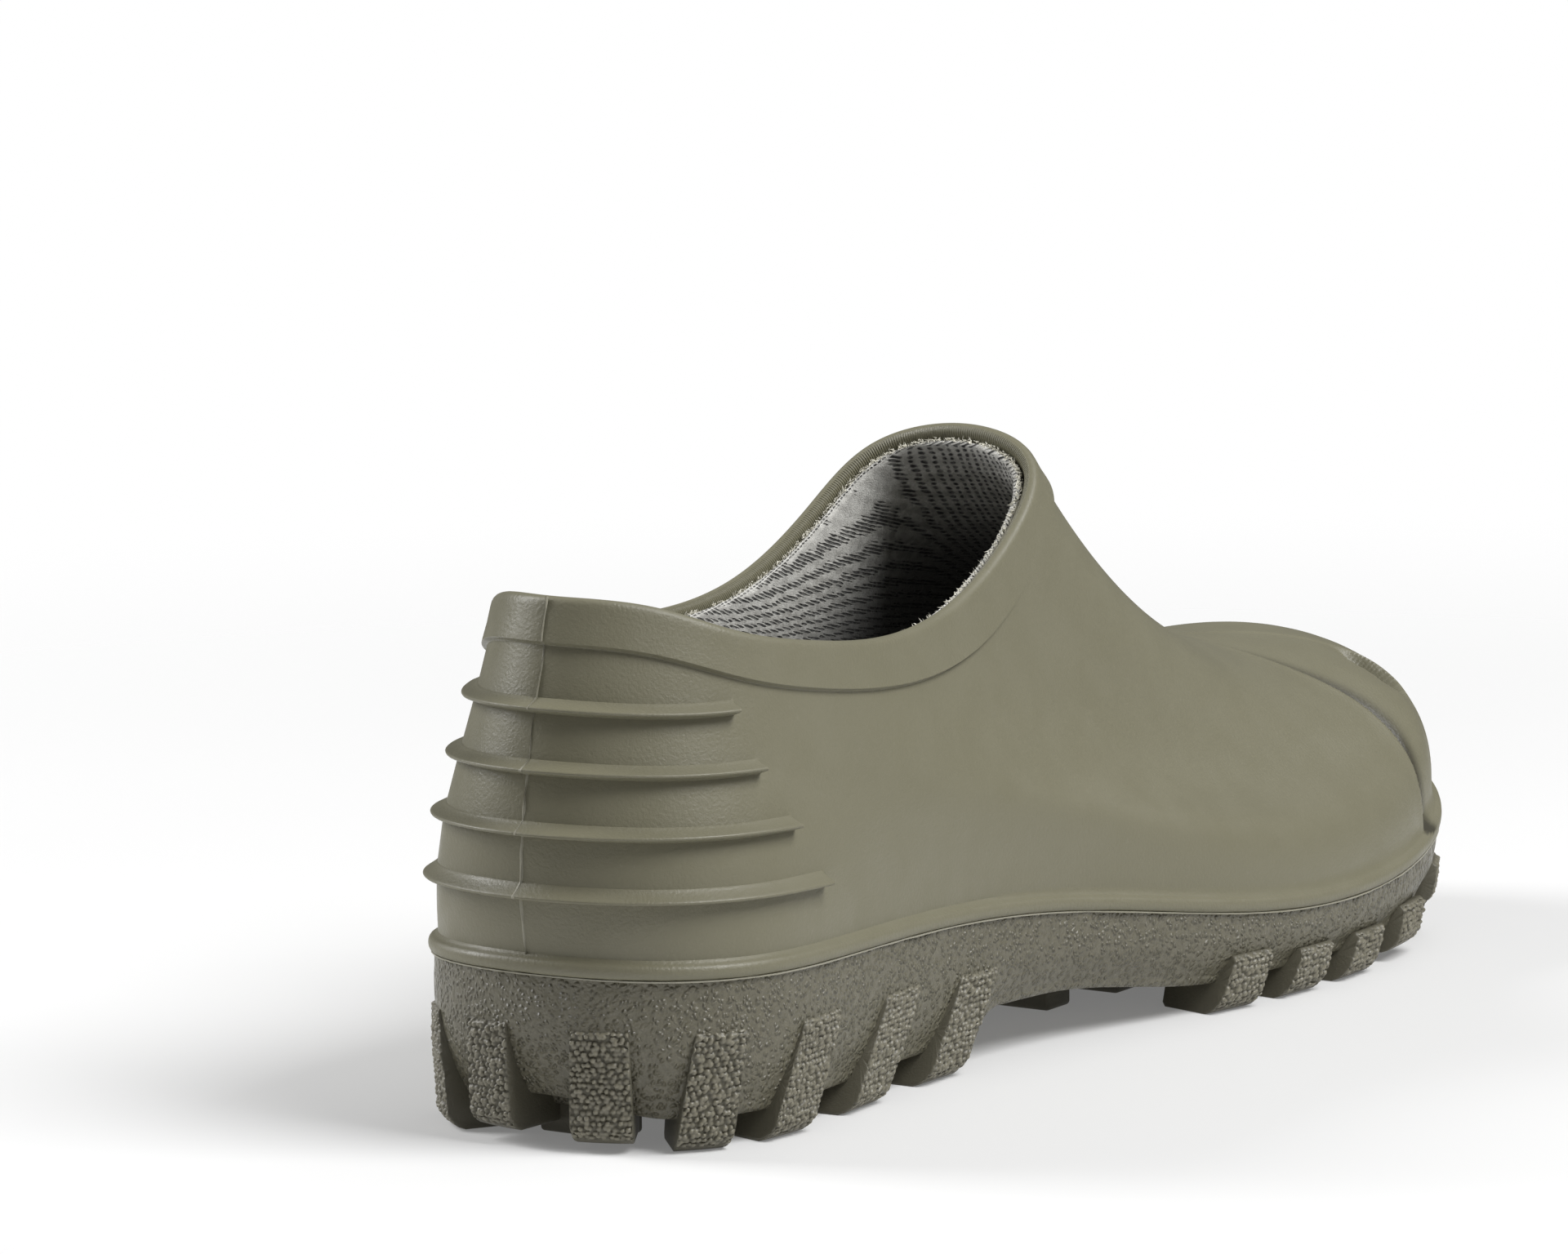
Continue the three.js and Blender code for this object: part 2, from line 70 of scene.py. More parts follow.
def ease(low: float, high: float, value: Array) -> Array:
    """Smooth step from 0 at low to 1 at high.

    Args:
        low: Value where the step starts.
        high: Value where the step ends.
        value: Values to map.

    Returns:
        The eased share of each value.
    """
    share = np.clip((value - low) / (high - low), 0.0, 1.0)
    return share * share * (3.0 - 2.0 * share)


def hashed(cell: Array, salt: int) -> Array:
    """Repeatable random share for whole-number cells.

    Args:
        cell: Cell numbers, the last axis being x, y and z.
        salt: Number that separates one set of shares from another.

    Returns:
        One share from 0 to 1 for each cell.
    """
    grid = cell.astype(np.int64)
    mixed = grid[..., 0] * 73856093 ^ grid[..., 1] * 19349663 ^ grid[..., 2] * 83492791
    mixed = mixed ^ salt * 2654435761
    mixed = (mixed ^ (mixed >> 13)) * 1274126177 & 0xFFFFFFFF
    mixed = (mixed ^ (mixed >> 16)) * 2246822519 & 0xFFFFFFFF
    return ((mixed >> 8) & 0xFFFF) / 65535.0


def soft_noise(points: Array, pitch: float, salt: int = 1) -> Array:
    """Smooth noise from -1 to 1.

    Args:
        points: Places in millimetres.
        pitch: Distance between the noise's own cells.
        salt: Number that picks the pattern.

    Returns:
        One value for each place.
    """
    scaled = points / pitch
    low = np.floor(scaled)
    part = scaled - low
    part = part * part * (3.0 - 2.0 * part)
    total = np.zeros(len(points))
    for corner in np.ndindex(2, 2, 2):
        step = np.array(corner)
        weight = np.prod(np.where(step == 1, part, 1.0 - part), axis=1)
        total += weight * hashed(low + step, salt)
    return total * 2.0 - 1.0


def pebbles(across: Array, up: Array, pitch: float, salt: int = 7) -> Array:
    """Height of a close crust of small rounded pebbles.

    Args:
        across: Lengths across the face, in millimetres.
        up: Lengths up the face.
        pitch: Distance between neighbouring pebbles.
        salt: Number that picks the pattern.

    Returns:
        Heights from 0, between pebbles, to 1, on their crowns.
    """
    row = np.floor(up / (pitch * 0.88))
    best = np.zeros(len(up))
    for down in (-1.0, 0.0, 1.0):
        line = row + down
        shift = np.mod(line, 2.0) * 0.5
        column = np.floor(across / pitch - shift)
        for side in (-1.0, 0.0, 1.0):
            cell = np.stack([column + side, line, np.zeros_like(line)], axis=1)
            wobble = [0.55 * (hashed(cell, salt + k) - 0.5) for k in range(2)]
            x = (column + side + 0.5 + shift + wobble[0]) * pitch - across
            y = (line + 0.5 + wobble[1]) * pitch * 0.88 - up
            size = 0.41 + 0.15 * hashed(cell, salt + 5)
            tall = 0.55 + 0.45 * hashed(cell, salt + 6)
            dome = np.sqrt(np.clip(1.0 - (x * x + y * y) / (size * pitch) ** 2, 0.0, 1.0))
            best = np.maximum(best, tall * dome)
    return best


@dataclass(frozen=True)
class Last:
    """The form of the shoe: stations from the heel's back to the toe tip, in millimetres.

    Every curve round the shoe is a closed uniform cubic B-spline. Its control values go up the
    outer side of the foot and come back down the inner side.
    """

    along: tuple = (-149.5, -142, -120, -76, -18.5, 38.5, 94.5, 136, 146.5)
    outer: tuple = (0, 26, 41.5, 35.5, 37, 56.5, 57, 44, -2.5)
    inner: tuple = (0, 26, 37, 30, 29.5, 42, 53, 50, 2.5)
    height: tuple = (38, 37, 36.5, 35, 33, 21, 20.5, 31.5, 42.5)
    top_along: tuple = (-140.5, -128.5, -114, -92, -63, -32.5, -7.5, 8, 13)
    top_half: tuple = (0, 18, 28, 31, 28.5, 26, 24.5, 21.5, 0)
    top_height: tuple = (105, 104, 96, 92, 87.5, 89.5, 102, 115, 120)
    rise: tuple = (22, 25, 26, 25.5, 26, 27, 30, 47, 51)
    swell: tuple = (3.5, 1.5, 0.5, 1, 1, 0, -1, 3, 9)
    fall: tuple = (38.5, 37, 34, 32, 38.5, 58, 84, 94, 93)
    flare: tuple = (2.5, 4, 5, 6, 7, 7.5, 8, 9.5, 10.5)
    reach: tuple = (-7.5, -8, -5, 3.5, 18, 38.5, 60, 71.5, 58)
    band: tuple = (9, 9.5, 9, 10, 12, 12, 10, 8.5, 8.5)
    shift: tuple = (-2.46, 2.93, 0.0)
    table_columns: int = 1600
    table_rows: int = 400
    line_steps: int = 160

    @property
    def toe(self) -> int:
        """Number of the toe station."""
        return len(self.along) - 1

    @property
    def round(self) -> int:
        """Number of stations all the way round."""
        return 2 * self.toe

    def loop(self, out: Sequence[float], back: Optional[Sequence[float]] = None) -> Array:
        """Control values round the shoe.

        Args:
            out: One value per station on the outer side.
            back: One value per station on the inner side; the same as out if left out.

        Returns:
            The closed list of control values.
        """
        back = out if back is None else back
        return np.array(list(out) + list(back[1:self.toe])[::-1], float)

    def spline(self, values: Array, t: Array) -> Array:
        """Closed uniform cubic B-spline.

        Args:
            values: Control values round the shoe.
            t: Stations to read it at.

        Returns:
            The curve's values.
        """
        low = np.floor(t).astype(int)
        f = t - low
        pick = [values[(low + k) % len(values)] for k in (-1, 0, 1, 2)]
        shares = [(1 - f) ** 3, 3 * f**3 - 6 * f**2 + 4, -3 * f**3 + 3 * f**2 + 3 * f + 1, f**3]
        return sum(p * s for p, s in zip(pick, shares)) / 6.0

    def feather(self, t: Array) -> Array:
        """Points on the line where the wall meets the rand."""
        inner = [-v for v in self.inner]
        rows = (self.loop(self.outer, inner), self.loop(self.along), self.loop(self.height))
        return np.stack([self.spline(r, t) for r in rows], axis=-1)

    def top(self, t: Array) -> Array:
        """Points on the top line round the foot opening."""
        inner = [-v for v in self.top_half]
        rows = (self.loop(self.top_half, inner), self.loop(self.top_along), self.loop(self.top_height))
        return np.stack([self.spline(r, t) for r in rows], axis=-1)

    def plan_normal(self, line: Callable[[Array], Array], t: Array) -> Array:
        """Outward level normal of a line round the shoe.

        Args:
            line: The line, as a function of the station.
            t: Stations to read it at.

        Returns:
            Unit vectors.
        """
        along = line(t + 0.01) - line(t - 0.01)
        normal = np.stack([along[..., 1], -along[..., 0], np.zeros_like(t)], axis=-1)
        return normal / np.linalg.norm(normal, axis=-1, keepdims=True)

    def band_depth(self, t: Array) -> Array:
        """Depth of the collar band below the top line."""
        return self.spline(self.loop(self.band), t)

    def from_heel(self, t: Array) -> Array:
        """Stations counted from the heel's back, the same on both sides."""
        return np.minimum(t, self.round - t)

    def base(self, y: Array) -> Array:
        """Height of the feather line over a place along the shoe."""
        side = self.feather(np.linspace(0, self.toe, 400))
        return np.interp(y, side[:, 1], side[:, 2])

    def placed(self, points: Array) -> Array:
        """Points moved from the form's own frame to the shoe's frame."""
        return points + np.array(self.shift)


class Wall:
    """The plain outer wall over a last, tabled by station and by share of its height."""

    def __init__(self, last: Last) -> None:
        """Tables the wall's points, normals and lengths.

        Args:
            last: The form of the shoe.
        """
        self.last = last
        t = np.arange(last.table_columns) * last.round / last.table_columns
        foot, head = last.feather(t), last.top(t)
        up = np.array([0.0, 0.0, 1.0])
        low = foot + last.plan_normal(last.feather, t) * last.spline(last.loop(last.swell), t)[:, None]
        low += up * last.spline(last.loop(last.rise), t)[:, None]
        high = head + last.plan_normal(last.top, t) * last.spline(last.loop(last.flare), t)[:, None]
        high[:, 1] += last.spline(last.loop(last.reach), t)
        high[:, 2] -= last.spline(last.loop(last.fall), t)
        v = np.linspace(0, 1, last.line_steps + 1)[:, None, None]
        lines = (1 - v) ** 3 * foot + 3 * (1 - v) ** 2 * v * low
        lines = lines + 3 * (1 - v) * v**2 * high + v**3 * head
        steps = np.linalg.norm(np.diff(lines, axis=0), axis=2)
        sums = np.vstack([np.zeros(len(t)), np.cumsum(steps, axis=0)])
        self.lengths = sums[-1]
        shares = np.linspace(0, 1, last.table_rows + 1)
        self.points = np.empty((len(t), len(shares), 3))
        for k in range(len(t)):
            for axis in range(3):
                line = lines[:, k, axis]
                self.points[k, :, axis] = np.interp(shares * sums[-1, k], sums[:, k], line)
        across = np.roll(self.points, -1, axis=0) - np.roll(self.points, 1, axis=0)
        normal = np.cross(across, np.gradient(self.points, axis=1))
        self.normals = normal / np.linalg.norm(normal, axis=2, keepdims=True)

    def _cell(self, t: Array) -> tuple[Array, Array, Array]:
        """Table columns on each side of a station, and the share between them."""
        place = np.mod(t, self.last.round) * self.last.table_columns / self.last.round
        low = np.floor(place).astype(int) % self.last.table_columns
        return low, (low + 1) % self.last.table_columns, place - np.floor(place)

    def length(self, t: Array) -> Array:
        """Length of the wall line at each station."""
        a, b, f = self._cell(t)
        return self.lengths[a] * (1 - f) + self.lengths[b] * f

    def _read(self, table: Array, t: Array, share: Array) -> Array:
        """Values of a table between its columns and rows."""
        a, b, f = self._cell(t)
        place = np.clip(share, 0, 1) * self.last.table_rows
        row = np.minimum(np.floor(place).astype(int), self.last.table_rows - 1)
        g = (place - row)[:, None]
        f = f[:, None]
        near = table[a, row] * (1 - g) + table[a, row + 1] * g
        return near * (1 - f) + (table[b, row] * (1 - g) + table[b, row + 1] * g) * f

    def point(self, t: Array, distance: Array) -> Array:
        """Points on the wall.

        Args:
            t: Stations.
            distance: Distances up the wall line.

        Returns:
            The points in the form's own frame.
        """
        return self._read(self.points, t, distance / self.length(t))

    def normal(self, t: Array, distance: Array) -> Array:
        """Outward normals of the wall at stations and distances up it."""
        found = self._read(self.normals, t, distance / self.length(t))
        return found / np.linalg.norm(found, axis=1, keepdims=True)


@dataclass(frozen=True)
class Ribs:
    """The pull-off ribs across the heel: flat below, hollow above and cut off square."""

    count: int = 4
    pitch: float = 11.7
    proud: float = 2.7
    slope: float = 2.15
    under: float = 0.7
    heel_in: float = 0.2
    ends: tuple = (2.4, 2.23, 2.05, 1.88)
    end_width: float = 0.012
    near: tuple = (-1.6, -0.8, -0.7, -0.62, -0.54, -0.45, -0.3, -0.15, 0, 0.15, 0.3, 0.5, 0.8, 1.15,
                   1.55, 1.95, 2.15, 2.3, 2.6)

    @property
    def top(self) -> float:
        """Distance up the wall of the highest rib."""
        return self.count * self.pitch

    def rows(self) -> list[float]:
        """Distances up the wall where the ribs need a row of vertices."""
        return [rib * self.pitch + step for rib in range(1, self.count + 1) for step in self.near]

    def height(self, last: Last, t: Array, distance: Array) -> Array:
        """How far the ribs stand out of the wall.

        Args:
            last: The form of the shoe.
            t: Stations.
            distance: Distances up the wall.

        Returns:
            The heights.
        """
        rib = np.clip(np.round((distance - 0.5) / self.pitch), 1, self.count).astype(int)
        above = distance - rib * self.pitch
        end = np.array((9.0,) + self.ends)[rib]
        kept = 1.0 - np.clip((last.from_heel(t) - end) / self.end_width, 0, 1)
        below = ease(-self.under, -self.under + 0.26, above)
        crown = 1.0 - 0.12 * np.clip(np.abs(above + 0.1) / 0.4, 0, 1) ** 2
        hollow = np.clip((self.slope - above) / (self.slope - 0.3), 0, 1) ** 1.25
        top = self.heel_in * (1 - ease(self.slope, self.slope + 0.15, above))
        back = (0.88 * self.proud - top) * hollow + top
        return kept * below * np.where(above < 0.3, self.proud * crown, back)

    def kept_up_to(self, last: Last, t: Array) -> Array:
        """Distance up the wall below which the ribs need their own rows at each station."""
        over = self.slope + 0.9
        heights = [k * self.pitch + over for k in range(self.count, 0, -1)]
        ends = [e + 0.02 for e in self.ends[::-1]]
        marks, values = [0.0], [heights[0]]
        for k, end in enumerate(ends):
            marks += [end, end + 0.06]
            values += [heights[k], heights[min(k + 1, self.count - 1)]]
        return np.interp(last.from_heel(t), marks, values)


@dataclass(frozen=True)
class ToePanel:
    """The sunk panel over the toes, between an outer and an inner side piece with sharp crests."""

    outer: tuple = ((6, 82), (15, 90.5), (25.5, 98), (38, 104), (52.5, 106.5), (66, 108))
    inner: tuple = ((6, 82), (0, 95), (2, 111), (14, 124), (29, 130), (40, 126.5), (52, 121))
    depth: float = 3.5
    groove: float = 3.0
    spread: float = 11.0
    fillet: float = 0.55
    lip: float = 0.3
    lip_width: float = 1.9
    shadow: float = 2.2
    inner_start: float = 0.08
    reach: float = 3.2
    behind: float = 80.0
    above: float = 24.0

    def covers(self, points: Array) -> Array:
        """Whether points of the wall lie in the part of the toe that holds the panel."""
        return (points[:, 1] > self.behind) & (points[:, 2] > self.above)

    def _line(self, points: Sequence[tuple]) -> Array:
        """A smooth line through plan points."""
        given = np.array(points, float)
        ends = np.vstack([2 * given[0] - given[1], given, 2 * given[-1] - given[-2]])
        f = np.linspace(0, 1, 12, endpoint=False)[:, None]
        found = []
        for a, b, c, d in zip(ends, ends[1:], ends[2:], ends[3:]):
            found.append(0.5 * (2 * b + (c - a) * f + (2 * a - 5 * b + 4 * c - d) * f**2
                                + (3 * b - a - 3 * c + d) * f**3))
        return np.vstack(found + [given[-1:]])

    def side(self, points: Sequence[tuple], xy: Array) -> Array:
        """Signed plan distance from a crest, positive on its left.

        Args:
            points: The crest's plan points.
            xy: Places to measure from.

        Returns:
            The distances.
        """
        line = self._line(points)
        best = np.full(len(xy), 1e9)
        found = np.full(len(xy), -1e9)
        for a, b in zip(line, line[1:]):
            d = b - a
            r = xy - a
            k = np.clip((r @ d) / (d @ d), 0, 1)
            gap = np.linalg.norm(r - k[:, None] * d, axis=1)
            nearer = gap < best
            best = np.where(nearer, gap, best)
            found = np.where(nearer, np.sign(d[0] * r[:, 1] - d[1] * r[:, 0]) * gap, found)
        return found

    def tip(self, points: Array) -> Array:
        """How tall the inner crest stands, from 0 to 1: only its end at the toe tip rises."""
        rise = ease(self.inner[3][0] + 4.0, self.inner[4][0] - 1.0, points[:, 0])
        return rise * (1 - ease(self.inner[4][0] + 3.0, self.inner[4][0] + 9.0, points[:, 0]))

    def shade_at(self, points: Array) -> Array:
        """How deep in shade the groove under the crests lies, from 0 to 1."""
        xy = points[:, :2]
        near, far = self.side(self.outer, xy), -self.side(self.inner, xy)
        front = ease(self.outer[0][1] - 3.0, self.outer[0][1] + 4.0, points[:, 1])
        low = np.exp(-(np.clip(near - 3.6, 0, 99) / self.shadow) ** 2)
        low *= ease(-0.2, 0.5, near) * (far > 0)
        lip = np.exp(-(np.clip(far - 0.7, -9, 99) / self.shadow) ** 2)
        lip *= ease(-0.3, 0.5, far) * (near > 0)
        return front * np.maximum(low, 0.3 * lip * self.tip(points))

    def depth_at(self, points: Array) -> Array:
        """How far the panel lies below the side pieces.

        Args:
            points: Points of the plain wall.

        Returns:
            Depths, a little negative on the crests' own lips.
        """
        xy = points[:, :2]
        near, far = self.side(self.outer, xy), -self.side(self.inner, xy)
        front = ease(self.outer[0][1] - 1.0, self.outer[0][1] + 9.0, points[:, 1])
        share = self.inner_start + (1.0 - self.inner_start) * self.tip(points)
        tall = [self.depth, self.depth * share]
        inside = (near > 0) & (far > 0)
        sunk, lips = np.zeros(len(points)), np.zeros(len(points))
        for d, high in zip((near, far), tall):
            away = np.clip(d, 0, 99)
            level = 0.62 * np.exp(-(away / self.groove) ** 2)
            level = level + 0.34 * np.exp(-(away / self.spread) ** 2)
            sunk = np.maximum(sunk, high * level)
            bead = self.lip * np.exp(-(np.abs(d) / self.lip_width) ** 2)
            lips = np.maximum(lips, bead * ~inside * high / self.depth)
        for d in (near, far):
            sunk = sunk * (1 - np.exp(-np.clip(d / self.fillet, 0, 9) ** 2)) * inside
        return front * (sunk - lips)


class Shape:
    """Meshes shaped from primitives."""

    @staticmethod
    def alone() -> None:
        """Leaves nothing selected."""
        bpy.ops.object.select_all(action="DESELECT")

    @staticmethod
    def grid(name: str, columns: int, rows: int, place: Place, near: Optional[Place] = None,
             uv: Optional[Place] = None, weld: float = 2e-6) -> bpy.types.Object:
        """A grid primitive bent to a shape, welded where its edges meet.

        Args:
            name: Name of the piece.
            columns: Faces along the grid's first direction.
            rows: Faces along its second direction.
            place: Gives points in millimetres for column and row numbers.
            near: Says which column and row numbers are cut finer.
            uv: Gives map coordinates for column and row numbers.
            weld: Distance within which vertices become one.

        Returns:
            The new object.
        """
        Shape.alone()
        bpy.ops.mesh.primitive_grid_add(x_subdivisions=columns, y_subdivisions=rows, size=1.0)
        made = bpy.context.object
        made.name = made.data.name = name
        if near is not None:
            Shape.finer(made, columns, rows, near)
        c, r = Shape.numbers(made, columns, rows)
        if uv is not None:
            places = uv(c, r)
            Shape.map(made, places[:, :2])
            if places.shape[1] > 2:
                Shape.map(made, places[:, [2, 2]], "Depth")
        made.data.vertices.foreach_set("co", (place(c, r) * MM).astype(np.float32).ravel())
        made.data.update()
        Shape.weld(made, weld)
        return made

    @staticmethod
    def numbers(made: bpy.types.Object, columns: int, rows: int) -> tuple[Array, Array]:
        """Column and row number of each vertex of a flat grid."""
        flat = np.empty(len(made.data.vertices) * 3, np.float32)
        made.data.vertices.foreach_get("co", flat)
        flat = flat.reshape(-1, 3).astype(float)
        return (flat[:, 0] + 0.5) * columns, (flat[:, 1] + 0.5) * rows

    @staticmethod
    def finer(made: bpy.types.Object, columns: int, rows: int, near: Place) -> None:
        """Cuts each picked face of a flat grid into nine."""
        mesh = made.data
        c, r = Shape.numbers(made, columns, rows)
        picked = near(c, r).astype(bool)
        corners = np.empty(len(mesh.loops), np.int32)
        mesh.loops.foreach_get("vertex_index", corners)
        faces = picked[corners].reshape(-1, 4).any(axis=1)
        bpy.context.tool_settings.mesh_select_mode = (False, False, True)
        bpy.ops.object.mode_set(mode="EDIT")
        bpy.ops.mesh.select_all(action="DESELECT")
        bpy.ops.object.mode_set(mode="OBJECT")
        mesh.polygons.foreach_set("select", faces)
        bpy.ops.object.mode_set(mode="EDIT")
        bpy.ops.mesh.subdivide(number_cuts=2)
        bpy.ops.object.mode_set(mode="OBJECT")

    @staticmethod
    def map(made: bpy.types.Object, places: Array, name: str = "UVMap") -> None:
        """Writes map coordinates, one per vertex, to one of the piece's own UV maps."""
        mesh = made.data
        layer = mesh.uv_layers.get(name) or mesh.uv_layers.new(name=name)
        corners = np.empty(len(mesh.loops), np.int32)
        mesh.loops.foreach_get("vertex_index", corners)
        layer.data.foreach_set("uv", places[corners].astype(np.float32).ravel())

    @staticmethod
    def weld(made: bpy.types.Object, distance: float) -> None:
        """Joins vertices that lie together and drops faces with no area."""
        bpy.context.tool_settings.mesh_select_mode = (True, False, False)
        bpy.ops.object.mode_set(mode="EDIT")
        bpy.ops.mesh.select_all(action="SELECT")
        bpy.ops.mesh.remove_doubles(threshold=distance)
        bpy.ops.mesh.dissolve_degenerate(threshold=distance / 2)
        bpy.ops.object.mode_set(mode="OBJECT")

    @staticmethod
    def smooth(made: bpy.types.Object, degrees: float = 40.0) -> None:
        """Shades a piece smooth up to an angle."""
        Shape.alone()
        made.select_set(True)
        bpy.context.view_layer.objects.active = made
        bpy.ops.object.shade_smooth_by_angle(angle=math.radians(degrees))

    @staticmethod
    def join(parts: list, name: str) -> bpy.types.Object:
        """Joins several pieces of one moulding.

        Args:
            parts: The objects to join.
            name: Name of the result.

        Returns:
            The joined object.
        """
        Shape.alone()
        for part in parts:
            part.select_set(True)
        bpy.context.view_layer.objects.active = parts[0]
        bpy.ops.object.join()
        made = bpy.context.object
        made.name = made.data.name = name
        return made


class Socket:
    """An output of a shader node, with arithmetic."""

    def __init__(self, graph: "Graph", output: bpy.types.NodeSocket) -> None:
        """Keeps an output and the graph it belongs to."""
        self.graph = graph
        self.output = output

    def _math(self, how: str, *values: Union["Socket", float]) -> "Socket":
        """A Math node over some values."""
        return self.graph.node("ShaderNodeMath", {"operation": how}, 0, *values)

    def __add__(self, other: Union["Socket", float]) -> "Socket":
        """Sum."""
        return self._math("ADD", self, other)

    def __radd__(self, other: float) -> "Socket":
        """Sum with a number on the left."""
        return self._math("ADD", other, self)

    def __sub__(self, other: Union["Socket", float]) -> "Socket":
        """Difference."""
        return self._math("SUBTRACT", self, other)

    def __rsub__(self, other: float) -> "Socket":
        """Difference from a number on the left."""
        return self._math("SUBTRACT", other, self)

    def __mul__(self, other: Union["Socket", float]) -> "Socket":
        """Product."""
        return self._math("MULTIPLY", self, other)

    def __rmul__(self, other: float) -> "Socket":
        """Product with a number on the left."""
        return self._math("MULTIPLY", other, self)

    def __truediv__(self, other: Union["Socket", float]) -> "Socket":
        """Quotient."""
        return self._math("DIVIDE", self, other)

    def __rtruediv__(self, other: float) -> "Socket":
        """Quotient of a number on the left."""
        return self._math("DIVIDE", other, self)

    def floor(self) -> "Socket":
        """Whole part."""
        return self._math("FLOOR", self)

    def fract(self) -> "Socket":
        """Part after the point."""
        return self._math("FRACT", self)

    def sine(self) -> "Socket":
        """Sine."""
        return self._math("SINE", self)

    def root(self) -> "Socket":
        """Square root."""
        return self._math("SQRT", self)

    def between(self, low: float, high: float, first: float = 0.0, last: float = 1.0) -> "Socket":
        """Smoothly mapped range.

        Args:
            low: Value that gives first.
            high: Value that gives last.
            first: Result at low.
            last: Result at high.

        Returns:
            The mapped value.
        """
        return self.graph.node("ShaderNodeMapRange", {"interpolation_type": "SMOOTHSTEP"}, 0,
                               self, low, high, first, last)


class Graph:
    """A material's node tree."""

    def __init__(self, name: str) -> None:
        """Starts a material with an empty tree."""
        self.material = bpy.data.materials.new(name)
        self.material.use_nodes = True
        self.tree = self.material.node_tree
        self.tree.nodes.clear()
        self.end = self.tree.nodes.new("ShaderNodeOutputMaterial")
        self.shader = self.tree.nodes.new("ShaderNodeBsdfPrincipled")
        self.tree.links.new(self.shader.outputs[0], self.end.inputs["Surface"])

    def node(self, kind: str, settings: dict, out: Union[int, str], *values: object,
             **named: object) -> Socket:
        """Adds a node.

        Args:
            kind: Blender's type name of the node.
            settings: Properties to set on it.
            out: Number or name of the output to return.
            values: Inputs in order; None leaves one as it is.
            named: Inputs by name, with underscores for spaces.

        Returns:
            The chosen output.
        """
        made = self.tree.nodes.new(kind)
        for key, value in settings.items():
            setattr(made, key, value)
        for socket, value in zip(made.inputs, values):
            self.feed(socket, value)
        for key, value in named.items():
            self.feed(made.inputs[key.replace("_", " ")], value)
        return Socket(self, made.outputs[out])

    def feed(self, socket: bpy.types.NodeSocket, value: object) -> None:
        """Links or sets one input."""
        if isinstance(value, Socket):
            self.tree.links.new(value.output, socket)
        elif value is not None:
            socket.default_value = value

    def place(self, scale: float) -> Socket:
        """Object coordinates multiplied by a scale per metre."""
        where = self.node("ShaderNodeTexCoord", {}, "Object")
        return self.node("ShaderNodeVectorMath", {"operation": "SCALE"}, 0, where, Scale=scale)

    def noise(self, pitch: float, detail: float = 3.0, rough: float = 0.5) -> Socket:
        """Cloudy noise whose lumps are about pitch millimetres apart."""
        return self.node("ShaderNodeTexNoise", {}, 0, Vector=self.place(1000.0 / pitch), Scale=1.0,
                         Detail=detail, Roughness=rough)

    def cells(self, pitch: float) -> Socket:
        """Distance pattern of irregular cells about pitch millimetres apart."""
        warp = self.noise(pitch * 2.0, 1.0)
        place = self.place(1000.0 / pitch)
        where = self.node("ShaderNodeVectorMath", {"operation": "ADD"}, 0, place, warp)
        return self.node("ShaderNodeTexVoronoi", {}, 0, Vector=where, Scale=1.0, Randomness=1.0)

    def map(self, name: str = "UVMap") -> tuple[Socket, Socket]:
        """The piece's own map coordinates."""
        where = self.node("ShaderNodeUVMap", {"uv_map": name}, 0)
        split = self.node("ShaderNodeSeparateXYZ", {}, 0, where)
        return split, Socket(self, split.output.node.outputs[1])

    def mix(self, share: Union[Socket, float], first: object, second: object) -> Socket:
        """Colour between two colours."""
        made = self.tree.nodes.new("ShaderNodeMix")
        made.data_type = "RGBA"
        for key, value in ((0, share), (6, first), (7, second)):
            self.feed(made.inputs[key], value)
        return Socket(self, made.outputs[2])

    def bump(self, height: Socket, distance: float, strength: float = 1.0,
             under: Optional[Socket] = None) -> Socket:
        """A surface raised by a height pattern, in millimetres."""
        return self.node("ShaderNodeBump", {}, 0, Strength=strength, Distance=distance * MM, Height=height,
                         Normal=under)

    def dress(self, color: object, roughness: object, normal: Optional[Socket] = None,
              **fixed: float) -> None:
        """Feeds the shader.

        Args:
            color: Base colour.
            roughness: Roughness.
            normal: Bumped surface.
            fixed: Numbers set on the shader's own sockets.
        """
        self.feed(self.shader.inputs["Base Color"], color)
        self.feed(self.shader.inputs["Roughness"], roughness)
        self.feed(self.shader.inputs["Normal"], normal)
        for key, value in fixed.items():
            self.shader.inputs[key.replace("_", " ")].default_value = value


@dataclass(frozen=True)
class SmoothPlastic:
    """Satin moulded plastic of the upper, finely lined on the lip of the foot opening, with painted shade
    in the toe grooves.
    """

    name: str = "upper_plastic"
    color: tuple = (0.180, 0.170, 0.114, 1.0)
    worn: tuple = (0.185, 0.175, 0.119, 1.0)
    dusty: tuple = (0.26, 0.25, 0.2, 1.0)
    # Colour of the painted shade in the toe panel's grooves.
    shade: tuple = (0.035, 0.032, 0.021, 1.0)
    roughness: float = 0.42
    line_pitch: float = 0.55
    paints_groove_shade: bool = True

    def build(self) -> bpy.types.Material:
        """Builds the material."""
        g = Graph(self.name)
        cloud = g.noise(38.0, 4.0, 0.55)
        speck = g.noise(0.7, 3.0, 0.6)
        color = g.mix(cloud.between(0.36, 0.68), self.color, self.worn)
        color = g.mix(g.noise(1.6, 4.0, 0.7).between(0.60, 0.78, 0.0, 0.22), color, self.dusty)
        # Painted shade: the colour darkens towards the shade colour in the toe panel's grooves, as stored
        # in the Depth map.
        if self.paints_groove_shade:
            color = g.mix(g.map("Depth")[0] * 0.9, color, self.shade)
        u, lip = g.map()
        lines = (u * (2.0 * math.pi / self.line_pitch)).sine()
        micro = g.bump(speck, 0.17, 0.7)
        normal = g.bump(lines * lip, 0.085, 1.0, micro)
        rough = g.noise(9.0, 3.0).between(0.3, 0.7, self.roughness - 0.05, self.roughness + 0.07)
        g.dress(color, rough, normal, Specular_IOR_Level=0.5, IOR=1.48)
        return g.material


